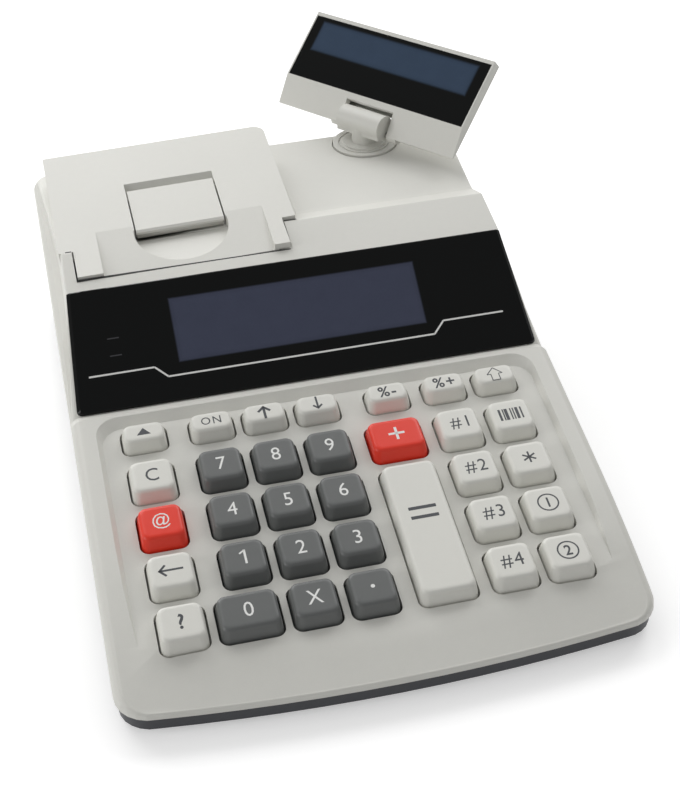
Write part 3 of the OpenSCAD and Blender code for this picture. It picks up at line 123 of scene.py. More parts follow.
camera_data = bpy.data.cameras.new("camera")
camera_data.lens = 72
camera_data.sensor_width = 36
camera_data.clip_start = 0.05
camera = bpy.data.objects.new("camera", camera_data)
bpy.context.collection.objects.link(camera)
turn = Matrix((right, up, -look)).transposed().to_4x4()
camera.matrix_world = Matrix.Translation(keypad + camera_from_keypad) @ turn
bpy.context.scene.camera = camera
print("camera at", in_mm(camera.location), "mm")

# %% [markdown]
# ## Mixing materials
# Shader nodes are sums written with boxes and wires. A small class that wraps one socket lets the
# sums be written as sums: `1 - mask * 0.3` adds its own Math nodes. Everything that isn't a sum
# comes from one method, which takes the node's type, its settings and its inputs.

# %% A wire that can be added and multiplied
class Wire:
    """One output of a material's node. Arithmetic on it adds Math nodes."""

    def __init__(self, recipe, socket):
        self.recipe = recipe
        self.socket = socket

    def math(self, operation, *values):
        return self.recipe.node("Math", {"operation": operation}, values)

    def __add__(self, other):
        return self.math("ADD", self, other)

    def __radd__(self, other):
        return self.math("ADD", other, self)

    def __sub__(self, other):
        return self.math("SUBTRACT", self, other)

    def __rsub__(self, other):
        return self.math("SUBTRACT", other, self)

    def __mul__(self, other):
        return self.math("MULTIPLY", self, other)

    def __rmul__(self, other):
        return self.math("MULTIPLY", other, self)

    def least(self, other):
        return self.math("MINIMUM", self, other)

    def most(self, other):
        return self.math("MAXIMUM", self, other)

    def ramp(self, start, end, low=0.0, high=1.0):
        """Smoothly from low at start to high at end"""
        return self.recipe.node(
            "MapRange", {"interpolation_type": "SMOOTHSTEP"}, [self, start, end, low, high])


print("wires can be added, subtracted and multiplied")


# %% A material that is mixed step by step
class Recipe:
    def __init__(self, name):
        self.material = bpy.data.materials.new(name)
        self.material.use_nodes = True
        self.tree = self.material.node_tree
        self.tree.nodes.clear()

    def node(self, kind, settings=None, values=(), out=0):
        """Adds ShaderNode<kind>, applies its settings, then fills its inputs in order or by name"""
        made = self.tree.nodes.new("ShaderNode" + kind)
        for key, value in (settings or {}).items():
            setattr(made, key, value)
        pairs = values.items() if isinstance(values, dict) else enumerate(values)
        for key, value in pairs:
            if isinstance(value, Wire):
                self.tree.links.new(value.socket, made.inputs[key])
            else:
                made.inputs[key].default_value = value
        return Wire(self, made.outputs[out]) if made.outputs else None

    def place(self):
        """Place on the piece, in metres, as it stands at rest"""
        return self.node("TexCoord", out="Object")

    def along(self, place, direction):
        """Distance of a place along a direction"""
        return self.node("VectorMath", {"operation": "DOT_PRODUCT"}, [place, direction], out="Value")

    def noise(self, place, size, detail=2.0, rough=0.5):
        """Cloudy pattern, 0 to 1, with lumps of about the given size in metres"""
        values = {"Vector": place, "Scale": 1 / size, "Detail": detail, "Roughness": rough}
        return self.node("TexNoise", None, values)

    def mix(self, share, one, other):
        """Colour that goes from one to the other as share goes from 0 to 1"""
        return self.node("Mix", {"data_type": "RGBA"}, {0: share, 6: one, 7: other}, out=2)

    def bump(self, height, depth, strength=1.0):
        """Normal of a surface whose relief is depth metres deep"""
        return self.node("Bump", None, {"Height": height, "Distance": depth, "Strength": strength})

    def finish(self, **values):
        """The surface: a Principled shader with these inputs, spaces written as underscores"""
        named = {key.replace("_", " "): value for key, value in values.items()}
        shader = self.node("BsdfPrincipled", None, named)
        self.node("OutputMaterial", None, {"Surface": shader})
        return self.material


print("recipes ready")

# %% [markdown]
# ## Moulded plastic
# The case is injection-moulded plastic. Its mould was etched, which leaves a fine matt grain of
# about a third of a millimetre, and the colour is never quite even: there are faint warm and cool
# clouds. Two noises give those clouds and a third, much finer, gives the grain through a Bump node.

# %% Moulded plastic
grain_depth = 0.02 * MM


def paint(colour, factor=1.0):
    """A colour with its alpha, made darker or lighter by a factor"""
    return (*[min(1, c * factor) for c in colour], 1)


def plastic(name, colour, roughness=0.45, cloud=0.03, grain=0.35 * MM):
    """Etched plastic. cloud is how much the colour wanders, and grain is the size of its grain."""
    recipe = Recipe(name)
    place = recipe.place()
    broad = recipe.noise(place, 45 * MM, 1)
    small = recipe.noise(place, 3 * MM, 3, 0.6)
    fine = recipe.noise(place, grain, 2, 0.7)
    shade = (broad - 0.5) * cloud + (small - 0.5) * cloud * 0.8 + (fine - 0.5) * cloud * 1.6
    tone = recipe.mix((shade * 2 + 0.5).most(0).least(1), paint(colour, 0.86), paint(colour, 1.12))
    return recipe.finish(
        Base_Color=tone,
        Roughness=(small - 0.5) * 0.14 + roughness,
        Normal=recipe.bump(fine, grain_depth, 0.6))


shell_plastic = plastic("shell_plastic", (0.68, 0.675, 0.63), 0.46, cloud=0.09)
base_plastic = plastic("base_plastic", (0.035, 0.037, 0.044), 0.42, cloud=0.12)
grey_key_plastic = plastic("grey_key_plastic", (0.128, 0.134, 0.132), 0.4, cloud=0.09)
red_key_plastic = plastic("red_key_plastic", (0.82, 0.036, 0.014), 0.38, cloud=0.07)
white_key_plastic = plastic("white_key_plastic", (0.735, 0.73, 0.68), 0.4, cloud=0.06)
gear_plastic = plastic("gear_plastic", (0.78, 0.76, 0.68), 0.4)
board_lacquer = plastic("board_lacquer", (0.02, 0.12, 0.05), 0.3, cloud=0.2, grain=1.2 * MM)
battery_wrap = plastic("battery_wrap", (0.04, 0.09, 0.26), 0.25, cloud=0.1)
print("plastics:", len(bpy.data.materials))

# %% [markdown]
# ## The main board
# A circuit board is green lacquer over copper, and the sockets and chips soldered to it are black.
# Board and sockets are one solid here, so the material asks for the height of each point and
# changes from lacquer to black plastic just above the board.

# %% The main board
def populated_board(name, thick):
    """Green board of a given thickness, with everything that stands on it in black"""
    recipe = Recipe(name)
    place = recipe.place()
    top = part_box("main_board")[0].z + thick
    speckle = recipe.noise(place, 1.2 * MM, 3)
    lacquer = recipe.mix(speckle, (0.015, 0.1, 0.04, 1), (0.026, 0.15, 0.065, 1))
    black = recipe.mix(speckle, (0.014, 0.014, 0.016, 1), (0.024, 0.024, 0.026, 1))
    parts = recipe.along(place, (0, 0, 1)).ramp(top, top + 0.2 * MM)
    return recipe.finish(Base_Color=recipe.mix(parts, lacquer, black), Roughness=speckle * 0.2 + 0.3)


main_board_look = populated_board("main_board_look", 1.6 * MM)
print("board:", main_board_look.name)

# %% [markdown]
# ## Rubber, steel and ink
# The feet and the keypad's mat are rubber: matt, with a powdery grain. The pins, screws and the
# motor are plated steel, a metal whose brushing is a noise stretched along one direction. The
# legends are ink: flat in colour, and a little rougher than the plastic that they are printed on.

# %% Rubber, steel and ink
def rubber(name, colour):
    """Matt rubber with a pale bloom of dust"""
    recipe = Recipe(name)
    place = recipe.place()
    dust = recipe.noise(place, 6 * MM, 4)
    pale = [c + 0.04 for c in colour]
    tone = recipe.mix(dust.ramp(0.4, 0.8), paint(colour), paint(pale))
    powder = recipe.bump(recipe.noise(place, 0.5 * MM), 0.03 * MM)
    return recipe.finish(Base_Color=tone, Roughness=dust * 0.2 + 0.7, Normal=powder)


def steel(name, colour):
    """Plated steel, brushed along X"""
    recipe = Recipe(name)
    place = recipe.place()
    stretched = recipe.node("Mapping", None, {"Vector": place, "Scale": (1, 12, 12)})
    brushing = recipe.node("TexNoise", None, {"Vector": stretched, "Scale": 300.0, "Detail": 3.0})
    tone = recipe.mix(brushing, paint(colour, 0.8), paint(colour))
    return recipe.finish(Base_Color=tone, Metallic=1.0, Roughness=brushing * 0.2 + 0.2)


def ink(name, colour):
    """Layer of printed ink, with a faint speckle"""
    recipe = Recipe(name)
    speckle = recipe.noise(recipe.place(), 0.4 * MM, 3)
    tone = recipe.mix(speckle, paint(colour, 0.9), paint(colour, 1.08))
    return recipe.finish(Base_Color=tone, Roughness=speckle * 0.2 + 0.4)


foot_rubber = rubber("foot_rubber", (0.02, 0.02, 0.02))
mat_rubber = rubber("mat_rubber", (0.25, 0.25, 0.245))
roller_rubber = rubber("roller_rubber", (0.03, 0.03, 0.032))
plated_steel = steel("plated_steel", (0.62, 0.62, 0.6))
dark_ink = ink("dark_ink", (0.055, 0.06, 0.068))
white_ink = ink("white_ink", (0.82, 0.82, 0.8))
faint_ink = ink("faint_ink", (0.035, 0.035, 0.04))
print("materials:", len(bpy.data.materials))

# %% [markdown]
# ## Dark glass
# Each display sits behind a black panel. The panel is one clear sheet with black ink behind it,
# and a rectangle is left free of ink, where the display's slate-blue glass shows. The rectangle is
# painted by its place on the panel: the distances along the panel's two directions are worked out
# with dot products, and a smooth step at each edge gives a soft border, because the glass lies a
# little behind the face.

# %% Dark glass with a display behind it
panel_black = (0.005, 0.0055, 0.0055)
rim = 2.2 * MM


def panel_glass(name, corner, across, upward, area, glass, edge=0.5 * MM):
    """Black panel. area is (left, right, foot, head) of the display, measured from corner."""
    recipe = Recipe(name)
    place = recipe.place()
    side = recipe.along(place, across) - corner.dot(across)
    rise = recipe.along(place, upward) - corner.dot(upward)
    left, right_end, foot, head = area
    inside = side.ramp(left - edge, left + edge).least(side.ramp(right_end + edge, right_end - edge))
    inside = inside.least(rise.ramp(foot - edge, foot + edge)).least(rise.ramp(head + edge, head - edge))
    # The display is darker within a rim of its edges, and its glass is clouded very faintly
    deep = side.ramp(left, left + rim).least(side.ramp(right_end, right_end - rim))
    deep = deep.least(rise.ramp(foot, foot + rim)).least(rise.ramp(head, head - rim))
    cloud = recipe.noise(place, 9 * MM, 4, 0.6)
    speck = recipe.noise(place, 0.7 * MM, 2)
    shade = (deep * 0.22 + cloud * 0.3 + speck * 0.14 + 0.42).least(1)
    display = recipe.mix(shade, paint(glass, 0.5), paint(glass))
    tone = recipe.mix(inside, paint(panel_black), display)
    return recipe.finish(
        Base_Color=tone,
        Roughness=speck * 0.03 + cloud * 0.05 + 0.07,
        Specular_IOR_Level=0.14)


print("black of the panels:", panel_black)

# %% [markdown]
# ## The operator's window
# This panel leans back between the keypad and the lid, and it is turned about the X axis alone. So
# one direction on it is plain X, and the other follows from its angle. Its lowest point along that
# second direction is the line from which the height of the display is measured.

# %% Glass of the operator's window
window_tilt = math.radians(36.4)
display_half = 48.5 * MM
display_foot, display_head = 15.1 * MM, 41.1 * MM
across = Vector((1, 0, 0))
upward = Vector((0, math.cos(window_tilt), math.sin(window_tilt)))
window_points = points_of("display_window")
window_foot = min(p.dot(upward) for p in window_points)
window_corner = upward * window_foot
window_glass = panel_glass(
    "window_glass", window_corner, across, upward,
    (keypad.x - display_half, keypad.x + display_half, display_foot, display_head), (0.066, 0.075, 0.118))
print("window's foot, up its own slope:", in_mm([window_foot]), "mm")

# %% [markdown]
# ## Finishing the frame's own solids
# Most of the model's solids already have the right shape. What they lack is the small radius that
# every moulded edge has, which catches the light as a thin line. Modifiers give it without
# touching the mesh: Weld joins the points along each edge, Decimate merges flat neighbours, a
# small group of geometry nodes marks the creases between flat faces, Bevel rounds the sharp edges,
# and Weighted Normal keeps the large faces flat.

# %% Mark creases by their angle
def crease_group(angle):
    """Geometry nodes that shade smooth across every edge flatter than the angle, in degrees"""
    group = bpy.data.node_groups.new("crease_" + str(angle), "GeometryNodeTree")
    group.interface.new_socket("Solid", in_out="INPUT", socket_type="NodeSocketGeometry")
    group.interface.new_socket("Solid", in_out="OUTPUT", socket_type="NodeSocketGeometry")
    start, end = group.nodes.new("NodeGroupInput"), group.nodes.new("NodeGroupOutput")
    bend = group.nodes.new("GeometryNodeInputMeshEdgeAngle")
    flat = group.nodes.new("FunctionNodeCompare")
    flat.operation = "LESS_THAN"
    flat.inputs[1].default_value = math.radians(angle)
    smooth = group.nodes.new("GeometryNodeSetShadeSmooth")
    smooth.domain = "EDGE"
    group.links.new(bend.outputs["Unsigned Angle"], flat.inputs[0])
    group.links.new(start.outputs[0], smooth.inputs["Geometry"])
    group.links.new(flat.outputs[0], smooth.inputs["Shade Smooth"])
    group.links.new(smooth.outputs[0], end.inputs[0])
    return group


creases = {angle: crease_group(angle) for angle in (4.5, 12, 30)}
print("crease angles:", list(creases))


# %% Round the edges and dress the solids
sharp_edge = math.radians(32)
flat_within = math.radians(0.4)
edge_segments = 3


def dress(name, material, radius=0.0, crease=30):
    """Gives a frame node its material, and rounds its edges by radius in mm"""
    piece = nodes[name]
    piece.data.materials.clear()
    piece.data.materials.append(material)
    for face in piece.data.polygons:
        face.use_smooth = True
        face.material_index = 0
    weld = piece.modifiers.new("join", "WELD")
    weld.merge_threshold = 0.01 * MM
    merge = piece.modifiers.new("merge", "DECIMATE")
    merge.decimate_type = "DISSOLVE"
    merge.angle_limit = flat_within
    piece.modifiers.new("creases", "NODES").node_group = creases[crease]
    if radius:
        bevel = piece.modifiers.new("edges", "BEVEL")
        bevel.width = radius * MM
        bevel.segments = edge_segments
        bevel.limit_method = "ANGLE"
        bevel.angle_limit = sharp_edge
    flat = piece.modifiers.new("normals", "WEIGHTED_NORMAL")
    flat.keep_sharp = True
    flat.weight = 80


finishes = {
    "lower_case": (base_plastic, 0.6),
    "upper_case": (shell_plastic, 0.35),
    "rubber_feet": (foot_rubber, 0.5),
    "case_screws": (plated_steel, 0.15),
    "display_window": (window_glass, 0.25),
    "operator_display": (board_lacquer, 0),
    "keypad_mat": (mat_rubber, 0),
    "keypad_board": (board_lacquer, 0),
    "main_board": (main_board_look, 0.1),
    "battery_pack": (battery_wrap, 0.8),
    "battery_door": (base_plastic, 0.2),
    "printer_frame": (base_plastic, 0.1),
    "print_head": (plated_steel, 0.1),
    "platen_roller": (roller_rubber, 0.1),
    "platen_gear": (gear_plastic, 0),
    "paper_motor": (plated_steel, 0.3),
    "motor_gear": (gear_plastic, 0),
    "printer_lid": (shell_plastic, 0.45),
    "lid_latch": (shell_plastic, 0.4),
    "lid_hinge_pin": (plated_steel, 0.1),
    "display_turret": (shell_plastic, 0.35),
    "turret_nut": (plated_steel, 0.2),
    "tilt_pin": (plated_steel, 0.1),
    "head_front": (shell_plastic, 0.5),
    "head_back": (shell_plastic, 0.5),
    "head_module": (board_lacquer, 0),
}
crease_of = {"upper_case": 12, "printer_lid": 4.5, "lid_latch": 4.5, "head_front": 12, "head_back": 12}
for name, (material, radius) in finishes.items():
    dress(name, material, radius, crease_of.get(name, 30))
print("dressed:", len(finishes))

# %% [markdown]
# ## Keycaps
# A keycap is a low cushion: its sides lean in, more at the front than at the rear, and its top
# edge is well rounded. A hull of a few slices is enough for the frame, but a close look wants a
# smooth one. Lofting does it: the same rounded rectangle is drawn at several heights, a little
# smaller each time, and neighbouring rings are joined with faces.

# %% Rounded rectangle and loft
corner_steps = 6


def rounded_rectangle(left, right_end, front, rear, radius):
    """Points of a rectangle with round corners, anticlockwise"""
    points = []
    corners = [(right_end, rear, 0), (left, rear, 90), (left, front, 180), (right_end, front, 270)]
    for x, y, start in corners:
        middle_x = x - radius if x == right_end else x + radius
        middle_y = y - radius if y == rear else y + radius
        for i in range(corner_steps + 1):
            a = math.radians(start + 90 * i / corner_steps)
            points.append((middle_x + radius * math.cos(a), middle_y + radius * math.sin(a)))
    return points


def make_piece(name, mesh, material, body, smooth=True):
    """Turns a bmesh into a piece that moves with a body of the frame"""
    data = bpy.data.meshes.new(name)
    bmesh.ops.recalc_face_normals(mesh, faces=mesh.faces)
    mesh.to_mesh(data)
    mesh.free()
    for face in data.polygons:
        face.use_smooth = smooth
    data.materials.append(material)
    piece = bpy.data.objects.new(name, data)
    bpy.context.collection.objects.link(piece)
    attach(piece, body)
    return piece


def loft(name, rings, matrix, material, body):
    """Joins rings of equal length into a closed solid, lowest ring first"""
    mesh = bmesh.new()
    rows = [[mesh.verts.new(matrix @ Vector(p)) for p in ring] for ring in rings]
    for lower, upper in zip(rows, rows[1:]):
        for i in range(len(lower)):
            j = (i + 1) % len(lower)
            mesh.faces.new((lower[i], lower[j], upper[j], upper[i]))
    mesh.faces.new(list(reversed(rows[0])))
    mesh.faces.new(rows[-1])
    return make_piece(name, mesh, material, body)


print("a round corner has", corner_steps, "steps")


# %% Colours and measures of the keycaps
grey_keys = {"key_" + sign for sign in (*"0123456789", "multiply", "point")}
red_keys = {"key_price", "key_subtotal"}
cap_rise = 5 * MM
cap_corner = 2.8 * MM
edge_round = 1.6 * MM
lean_side, lean_rear, lean_front = 0.6 * MM, 0.9 * MM, 1.7 * MM
# The sides take this share of the lean, and the round edge takes the rest
side_share = 0.9
flange_rise = 0.9 * MM
flange_corner, least_corner = 0.4 * MM, 0.3 * MM
# The cap stays upright for this far under the deck's surface
collar = 0.5 * MM
hair = 0.01 * MM
print("grey keys:", len(grey_keys), "red keys:", len(red_keys))


# %% Make the keycaps
def keycap(name):
    """Lofts the cap of a key, which stands in for the frame's own"""
    place = key_place[name]
    middle, half_w, half_d = place["middle"], place["width"] / 2, place["depth"] / 2

    def ring(share, edge, z, grow=0.0, corner=cap_corner):
        """Outline at height z, with a share of the lean, drawn in by edge and out by grow"""
        side = half_w - lean_side * share - edge + grow
        rear = half_d - lean_rear * share - edge + grow
        front = half_d - lean_front * share - edge + grow
        outline = rounded_rectangle(-side, side, -front, rear, max(corner - edge * 0.5, least_corner))
        return [(middle.x + x, middle.y + y, middle.z + z) for x, y in outline]

    foot = -place["height"]
    rings = [
        ring(0, 0, foot, flange, flange_corner),
        ring(0, 0, foot + flange_rise, flange, flange_corner),
        ring(0, 0, foot + flange_rise + 2 * hair),
        ring(0, 0, -cap_rise - collar)]
    for share in (1 / 3, 2 / 3, 1):
        rings.append(ring(share * side_share, 0, -cap_rise + (cap_rise - edge_round) * share))
    for a in range(15, 90, 15):
        c, s = math.cos(math.radians(a)), math.sin(math.radians(a))
        lean = side_share + (1 - side_share) * a / 90
        rings.append(ring(lean, edge_round * (1 - c), edge_round * (s - 1)))
    # The flat top lies a quarter further in than the end of the round edge
    rings.append(ring(1, edge_round * 1.25, -hair))
    if name in grey_keys:
        material = grey_key_plastic
    elif name in red_keys:
        material = red_key_plastic
    else:
        material = white_key_plastic
    cap = loft("cap_" + name[4:], rings, from_deck, material, body_of_node[name])
    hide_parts(name)
    "grey_key" if name in grey_keys else "red_key" if name in red_keys else "white_key"
    flat = cap.modifiers.new("normals", "WEIGHTED_NORMAL")
    flat.weight = 60


for name in keys:
    keycap(name)
print("caps:", len(keys))

# %% [markdown]
# ## Legends
# The legends are printed on the caps. A text object gives digits and signs, and it is turned into
# a mesh so that it can be placed like any piece. Arrows and pictograms are drawn as flat outlines.
# Each legend is three hundredths of a millimetre thick, like a real layer of ink, and is sunk a
# hundredth into its key, so that no gap shows.

# %% Characters and outlines as flat meshes
letter_gap, letter_narrow = 1.18, 0.9


def text_outline(text, size, bold):
    """Mesh of a few characters, flat and centred on its middle"""
    curve = bpy.data.curves.new("words", "FONT")
    curve.body = text
    curve.size = size
    curve.offset = bold
    curve.resolution_u = 3
    curve.space_character = letter_gap
    holder = bpy.data.objects.new("words", curve)
    bpy.context.collection.objects.link(holder)
    bpy.context.view_layer.update()
    flat = bmesh.new()
    flat.from_mesh(holder.to_mesh())
    holder.to_mesh_clear()
    bpy.data.objects.remove(holder)
    bpy.data.curves.remove(curve)
    low = Vector(min(v.co[i] for v in flat.verts) for i in range(3))
    high = Vector(max(v.co[i] for v in flat.verts) for i in range(3))
    middle = (low + high) / 2
    for vertex in flat.verts:
        vertex.co = Vector(((vertex.co.x - middle.x) * letter_narrow, vertex.co.y - middle.y, 0))
    return flat


def flat_shapes(outlines):
    """Flat mesh of several closed outlines, whose points are in millimetres"""
    flat = bmesh.new()
    for outline in outlines:
        flat.faces.new([flat.verts.new((x * MM, y * MM, 0)) for x, y in outline])
    return flat


print("space between characters:", letter_gap)


# %% Lay ink on the keys
ink_height = 0.03 * MM
ink_sink = 0.01 * MM
legend_up = 0.4 * MM


def thicken(flat):
    """Gives a flat mesh the thickness of a layer of ink"""
    bmesh.ops.recalc_face_normals(flat, faces=flat.faces)
    raised = bmesh.ops.extrude_face_region(flat, geom=list(flat.faces))
    for item in raised["geom"]:
        if isinstance(item, bmesh.types.BMVert):
            item.co.z += ink_height


def print_on_key(name, flat, material, up=legend_up, part="legend_"):
    """Lays a flat mesh on a key's top, a little up from its middle"""
    thicken(flat)
    spot = key_place[name]["middle"] + Vector((0, up, -ink_sink))
    flat.transform(from_deck @ Matrix.Translation(spot))
    make_piece(part + name[4:], flat, material, body_of_node[name], smooth=False)


print("ink:", round(ink_height / MM, 2), "mm thick")

# %% [markdown]
# ## Signs from strokes
# Most signs on the keys are lines of one thickness: an arrow, a plus, a star, a bar code. Each could
# be a curve with a bevel, but a stroke is only a thin rectangle between two points. A short function
# gives its corners, and turning or repeating it gives the other signs. All their points are in
# millimetres, as on a drawing.

# %% Outlines of the signs, in millimetres
def strip(x0, y0, x1, y1, thick):
    """Straight stroke between two points"""
    run = Vector((x1 - x0, y1 - y0)).normalized()
    side = Vector((-run.y, run.x)) * thick / 2
    start, end = Vector((x0, y0)), Vector((x1, y1))
    return [tuple(corner) for corner in (start + side, start - side, end - side, end + side)]


def arrow(length, head, thick):
    """Upright arrow: a shaft and two barbs"""
    tip = length / 2
    return [
        strip(0, -tip, 0, tip - thick * 0.5, thick),
        strip(-head, tip - head * 1.05, thick * 0.3, tip, thick),
        strip(head, tip - head * 1.05, -thick * 0.3, tip, thick)]


def round_points(radius, steps):
    """Points on a circle"""
    turns = [2 * math.pi * i / steps for i in range(steps)]
    return [(radius * math.cos(t), radius * math.sin(t)) for t in turns]


def ring_outline(radius, thick, steps=32):
    """Ring cut into short straight pieces"""
    outer, inner = round_points(radius, steps), round_points(radius - thick, steps)
    return [[outer[i - 1], outer[i], inner[i], inner[i - 1]] for i in range(steps)]


def turned(outlines, angle):
    """The same outlines, turned anticlockwise"""
    c, s = math.cos(math.radians(angle)), math.sin(math.radians(angle))
    return [[(x * c - y * s, x * s + y * c) for x, y in outline] for outline in outlines]


def shift_sign(width, height, thick):
    """Hollow arrow that points up"""
    w, n, top = width / 2, width / 4, height / 2
    corners = [(0, top), (w, 0), (n, 0), (n, -top), (-n, -top), (-n, 0), (-w, 0)]
    return [strip(*a, *b, thick) for a, b in zip(corners, corners[1:] + corners[:1])]


def one_sign(height, thick):
    """The digit 1 with its flag, which the built-in font lacks"""
    top = height / 2
    return [strip(0.5, -top, 0.5, top, thick), strip(-1.3, top - 1.5, 0.5, top - 0.25, thick * 0.8)]


print("a stroke of 6 by 1 mm:", strip(0, 0, 6, 0, 1))

# %% [markdown]
# ## Printing the keypad
# Two tables say what stands on each key: characters with their size and boldness, and signs with
# their outlines and their height up the key. Grey and red keys carry white ink, and white keys carry
# dark ink. A table is easier to read and to change than thirty calls would be.

# %% Print digits and letters
digit = 8.4 * MM
words = {
    "multiply": ("X", digit, 0, white_ink),
    "price": ("@", 7.4 * MM, 0, white_ink),
    "c": ("C", digit, 0, dark_ink),
    "on": ("ON", 5.2 * MM, 0, dark_ink),
    "lookup": ("?", digit, 0.15 * MM, dark_ink),
    "percent_minus": ("%-", 7 * MM, 0.12 * MM, dark_ink),
    "percent_plus": ("%+", 7 * MM, 0.12 * MM, dark_ink),
}
words.update({number: (number, digit, 0, white_ink) for number in "748520963"})
words.update({"department_" + number: ("#" + number, 7.8 * MM, 0, dark_ink) for number in "1234"})
words.update({"payment_" + number: (number, 6 * MM, 0.1 * MM, dark_ink) for number in "12"})
for key, (word, size, bold, colour) in words.items():
    print_on_key("key_" + key, text_outline(word, size, bold), colour)
print("words printed:", len(words))

# %% Print the signs
star = [strip(0, -2.6, 0, 2.6, 0.7)]
plus = [strip(-3, 0, 3, 0, 1)]
equals = [strip(-5, y, 5, y, 1.4) for y in (2.1, -2.1)]
bars = [(-4.2, 0.9), (-2.8, 0.5), (-1.7, 1.2), (0.1, 0.5), (1.1, 0.5), (2.4, 1.1), (4.0, 0.6)]
signs = {
    "1": (one_sign(6, 0.8), white_ink, legend_up),
    "point": ([round_points(0.75, 16)], white_ink, legend_up),
    "subtotal": (plus + turned(plus, 90), white_ink, legend_up),
    "total": (equals, dark_ink, 6 * MM),
    "void": (turned(arrow(8.4, 2.3, 0.8), 90), dark_ink, legend_up),
    "star": (star + turned(star, 60) + turned(star, 120), dark_ink, legend_up),
    "barcode": ([strip(x, -2.8, x, 2.8, thick) for x, thick in bars], dark_ink, legend_up),
    "eject": ([[(-2.6, -1.4), (2.6, -1.4), (0, 1.9)]], dark_ink, 0.2 * MM),
    "up": (arrow(6, 2.3, 0.95), dark_ink, -0.1 * MM),
    "down": (turned(arrow(6, 1.7, 0.75), 180), dark_ink, 0.6 * MM),
    "shift": (shift_sign(6, 6.4, 0.35), dark_ink, 0.3 * MM),
}
for key, (outlines, colour, up) in signs.items():
    print_on_key("key_" + key, flat_shapes(outlines), colour, up)
for key in ("payment_1", "payment_2"):
    print_on_key("key_" + key, flat_shapes(ring_outline(3.9, 0.55)), dark_ink, part="ring_")
print("signs printed:", len(signs))

# %% [markdown]
# ## The line on the window
# A thin white line crosses the window's foot. It steps down at the left and up again at the right,
# and two short dashes stand over its left end. All of it is printed, so it is drawn like the
# legends: short strokes on the window's plane, in millimetres from the middle of the window's foot.

# %% Draw the window's line
window_normal = Vector((0, -math.sin(window_tilt), math.cos(window_tilt)))
face_height = max(p.dot(window_normal) for p in window_points)


def on_window(flat, name, material):
    """Lays a flat mesh on the operator's window"""
    thicken(flat)
    turn_up = Matrix((across, upward, window_normal)).transposed().to_4x4()
    base = across * keypad.x + upward * window_foot + window_normal * (face_height - ink_sink)
    flat.transform(Matrix.Translation(base) @ turn_up)
    make_piece(name, flat, material, "base", smooth=False)


line_thick, dash_thick = 0.7, 0.5
line_points = [(-83.1, 14.4), (-58.2, 14.4), (-53.6, 9.9), (50.7, 9.9), (55.3, 14.8), (79.5, 14.8)]
strokes = [strip(*a, *b, line_thick) for a, b in zip(line_points, line_points[1:])]
on_window(flat_shapes(strokes), "window_line", white_ink)
dashes = [strip(-74, y, -69.5, y, dash_thick) for y in (21.5, 28.5)]
on_window(flat_shapes(dashes), "window_dashes", faint_ink)
print("strokes on the window:", len(strokes) + len(dashes))

# %% [markdown]
# ## Painted shadow in front of the lid
# A thin dark strip lies in the seam in front of the printer's lid. It is painted shadow: it stands
# in for the shade deep in the seam, and from above it reads as a fine dark line. Its place is measured:
# the lid's own points give the edge, and the case's points across the seam give the height of the surface
# there.

# %% Measure the lid's front edge
near = 0.2 * MM
lid_points = points_of("printer_lid")
tongue_y = min(p.y for p in lid_points)
tongue = [p.x for p in lid_points if p.y < tongue_y + near]
tongue_from, tongue_to = min(tongue), max(tongue)
ledge_y = min(p.y for p in lid_points if p.x < tongue_from - 1 * MM)
ledge = [p.x for p in lid_points if p.y < ledge_y + near]
ledge_from, ledge_to = min(ledge), max(ledge)
print("tongue from", *in_mm([tongue_from]), "to", *in_mm([tongue_to]), "mm")


# %% Lay a dark strip in the seam, as painted shadow
seam = 1.1 * MM
shadow_strip_wide, shadow_strip_deep = 0.9 * MM, 1 * MM
shadow_strip_off_lid, shadow_strip_sunk = 0.12 * MM, 0.1 * MM
shadow_strip_off_corner, shadow_strip_off_side = 0.7 * MM, 2.5 * MM
case_points = points_of("upper_case")


def painted_seam_shadow(name, x0, x1, edge_y):
    """Dark strip in front of the lid's edge, just under the case's surface: painted shadow in the seam"""
    beyond = [p for p in case_points if abs(p.y - edge_y + seam) < near]
    top = max(p.z for p in beyond if x0 - 2 * MM < p.x < x1 + 2 * MM) - shadow_strip_sunk
    mesh = bmesh.new()
    bmesh.ops.create_cube(mesh, size=1)
    middle = Vector(((x0 + x1) / 2, edge_y - shadow_strip_off_lid - shadow_strip_wide / 2, top - shadow_strip_deep / 2))
    mesh.transform(Matrix.Translation(middle) @ Matrix.Diagonal((x1 - x0, shadow_strip_wide, shadow_strip_deep, 1)))
    print(name, "at", in_mm(middle), "mm")
    make_piece(name, mesh, foot_rubber, "base", smooth=False)


# Painted shadow: dark strips in the seam in front of the lid's tongue and on either side of it
painted_seam_shadow("seam_shadow_front", tongue_from, tongue_to, tongue_y)
painted_seam_shadow("seam_shadow_left", ledge_from + shadow_strip_off_side, tongue_from - shadow_strip_off_corner, ledge_y)
painted_seam_shadow("seam_shadow_right", tongue_to + shadow_strip_off_corner, ledge_to, ledge_y)

# %% [markdown]
# ## The lip of the release flap
# Behind its front edge the flap turns down into the finger scoop, so that a fingertip finds a wall
# to pull on. The lip is a thin prism: its outline is drawn once at the flap's left end and once at
# its right end, measured from the lower front corners there, and a loft joins the two.

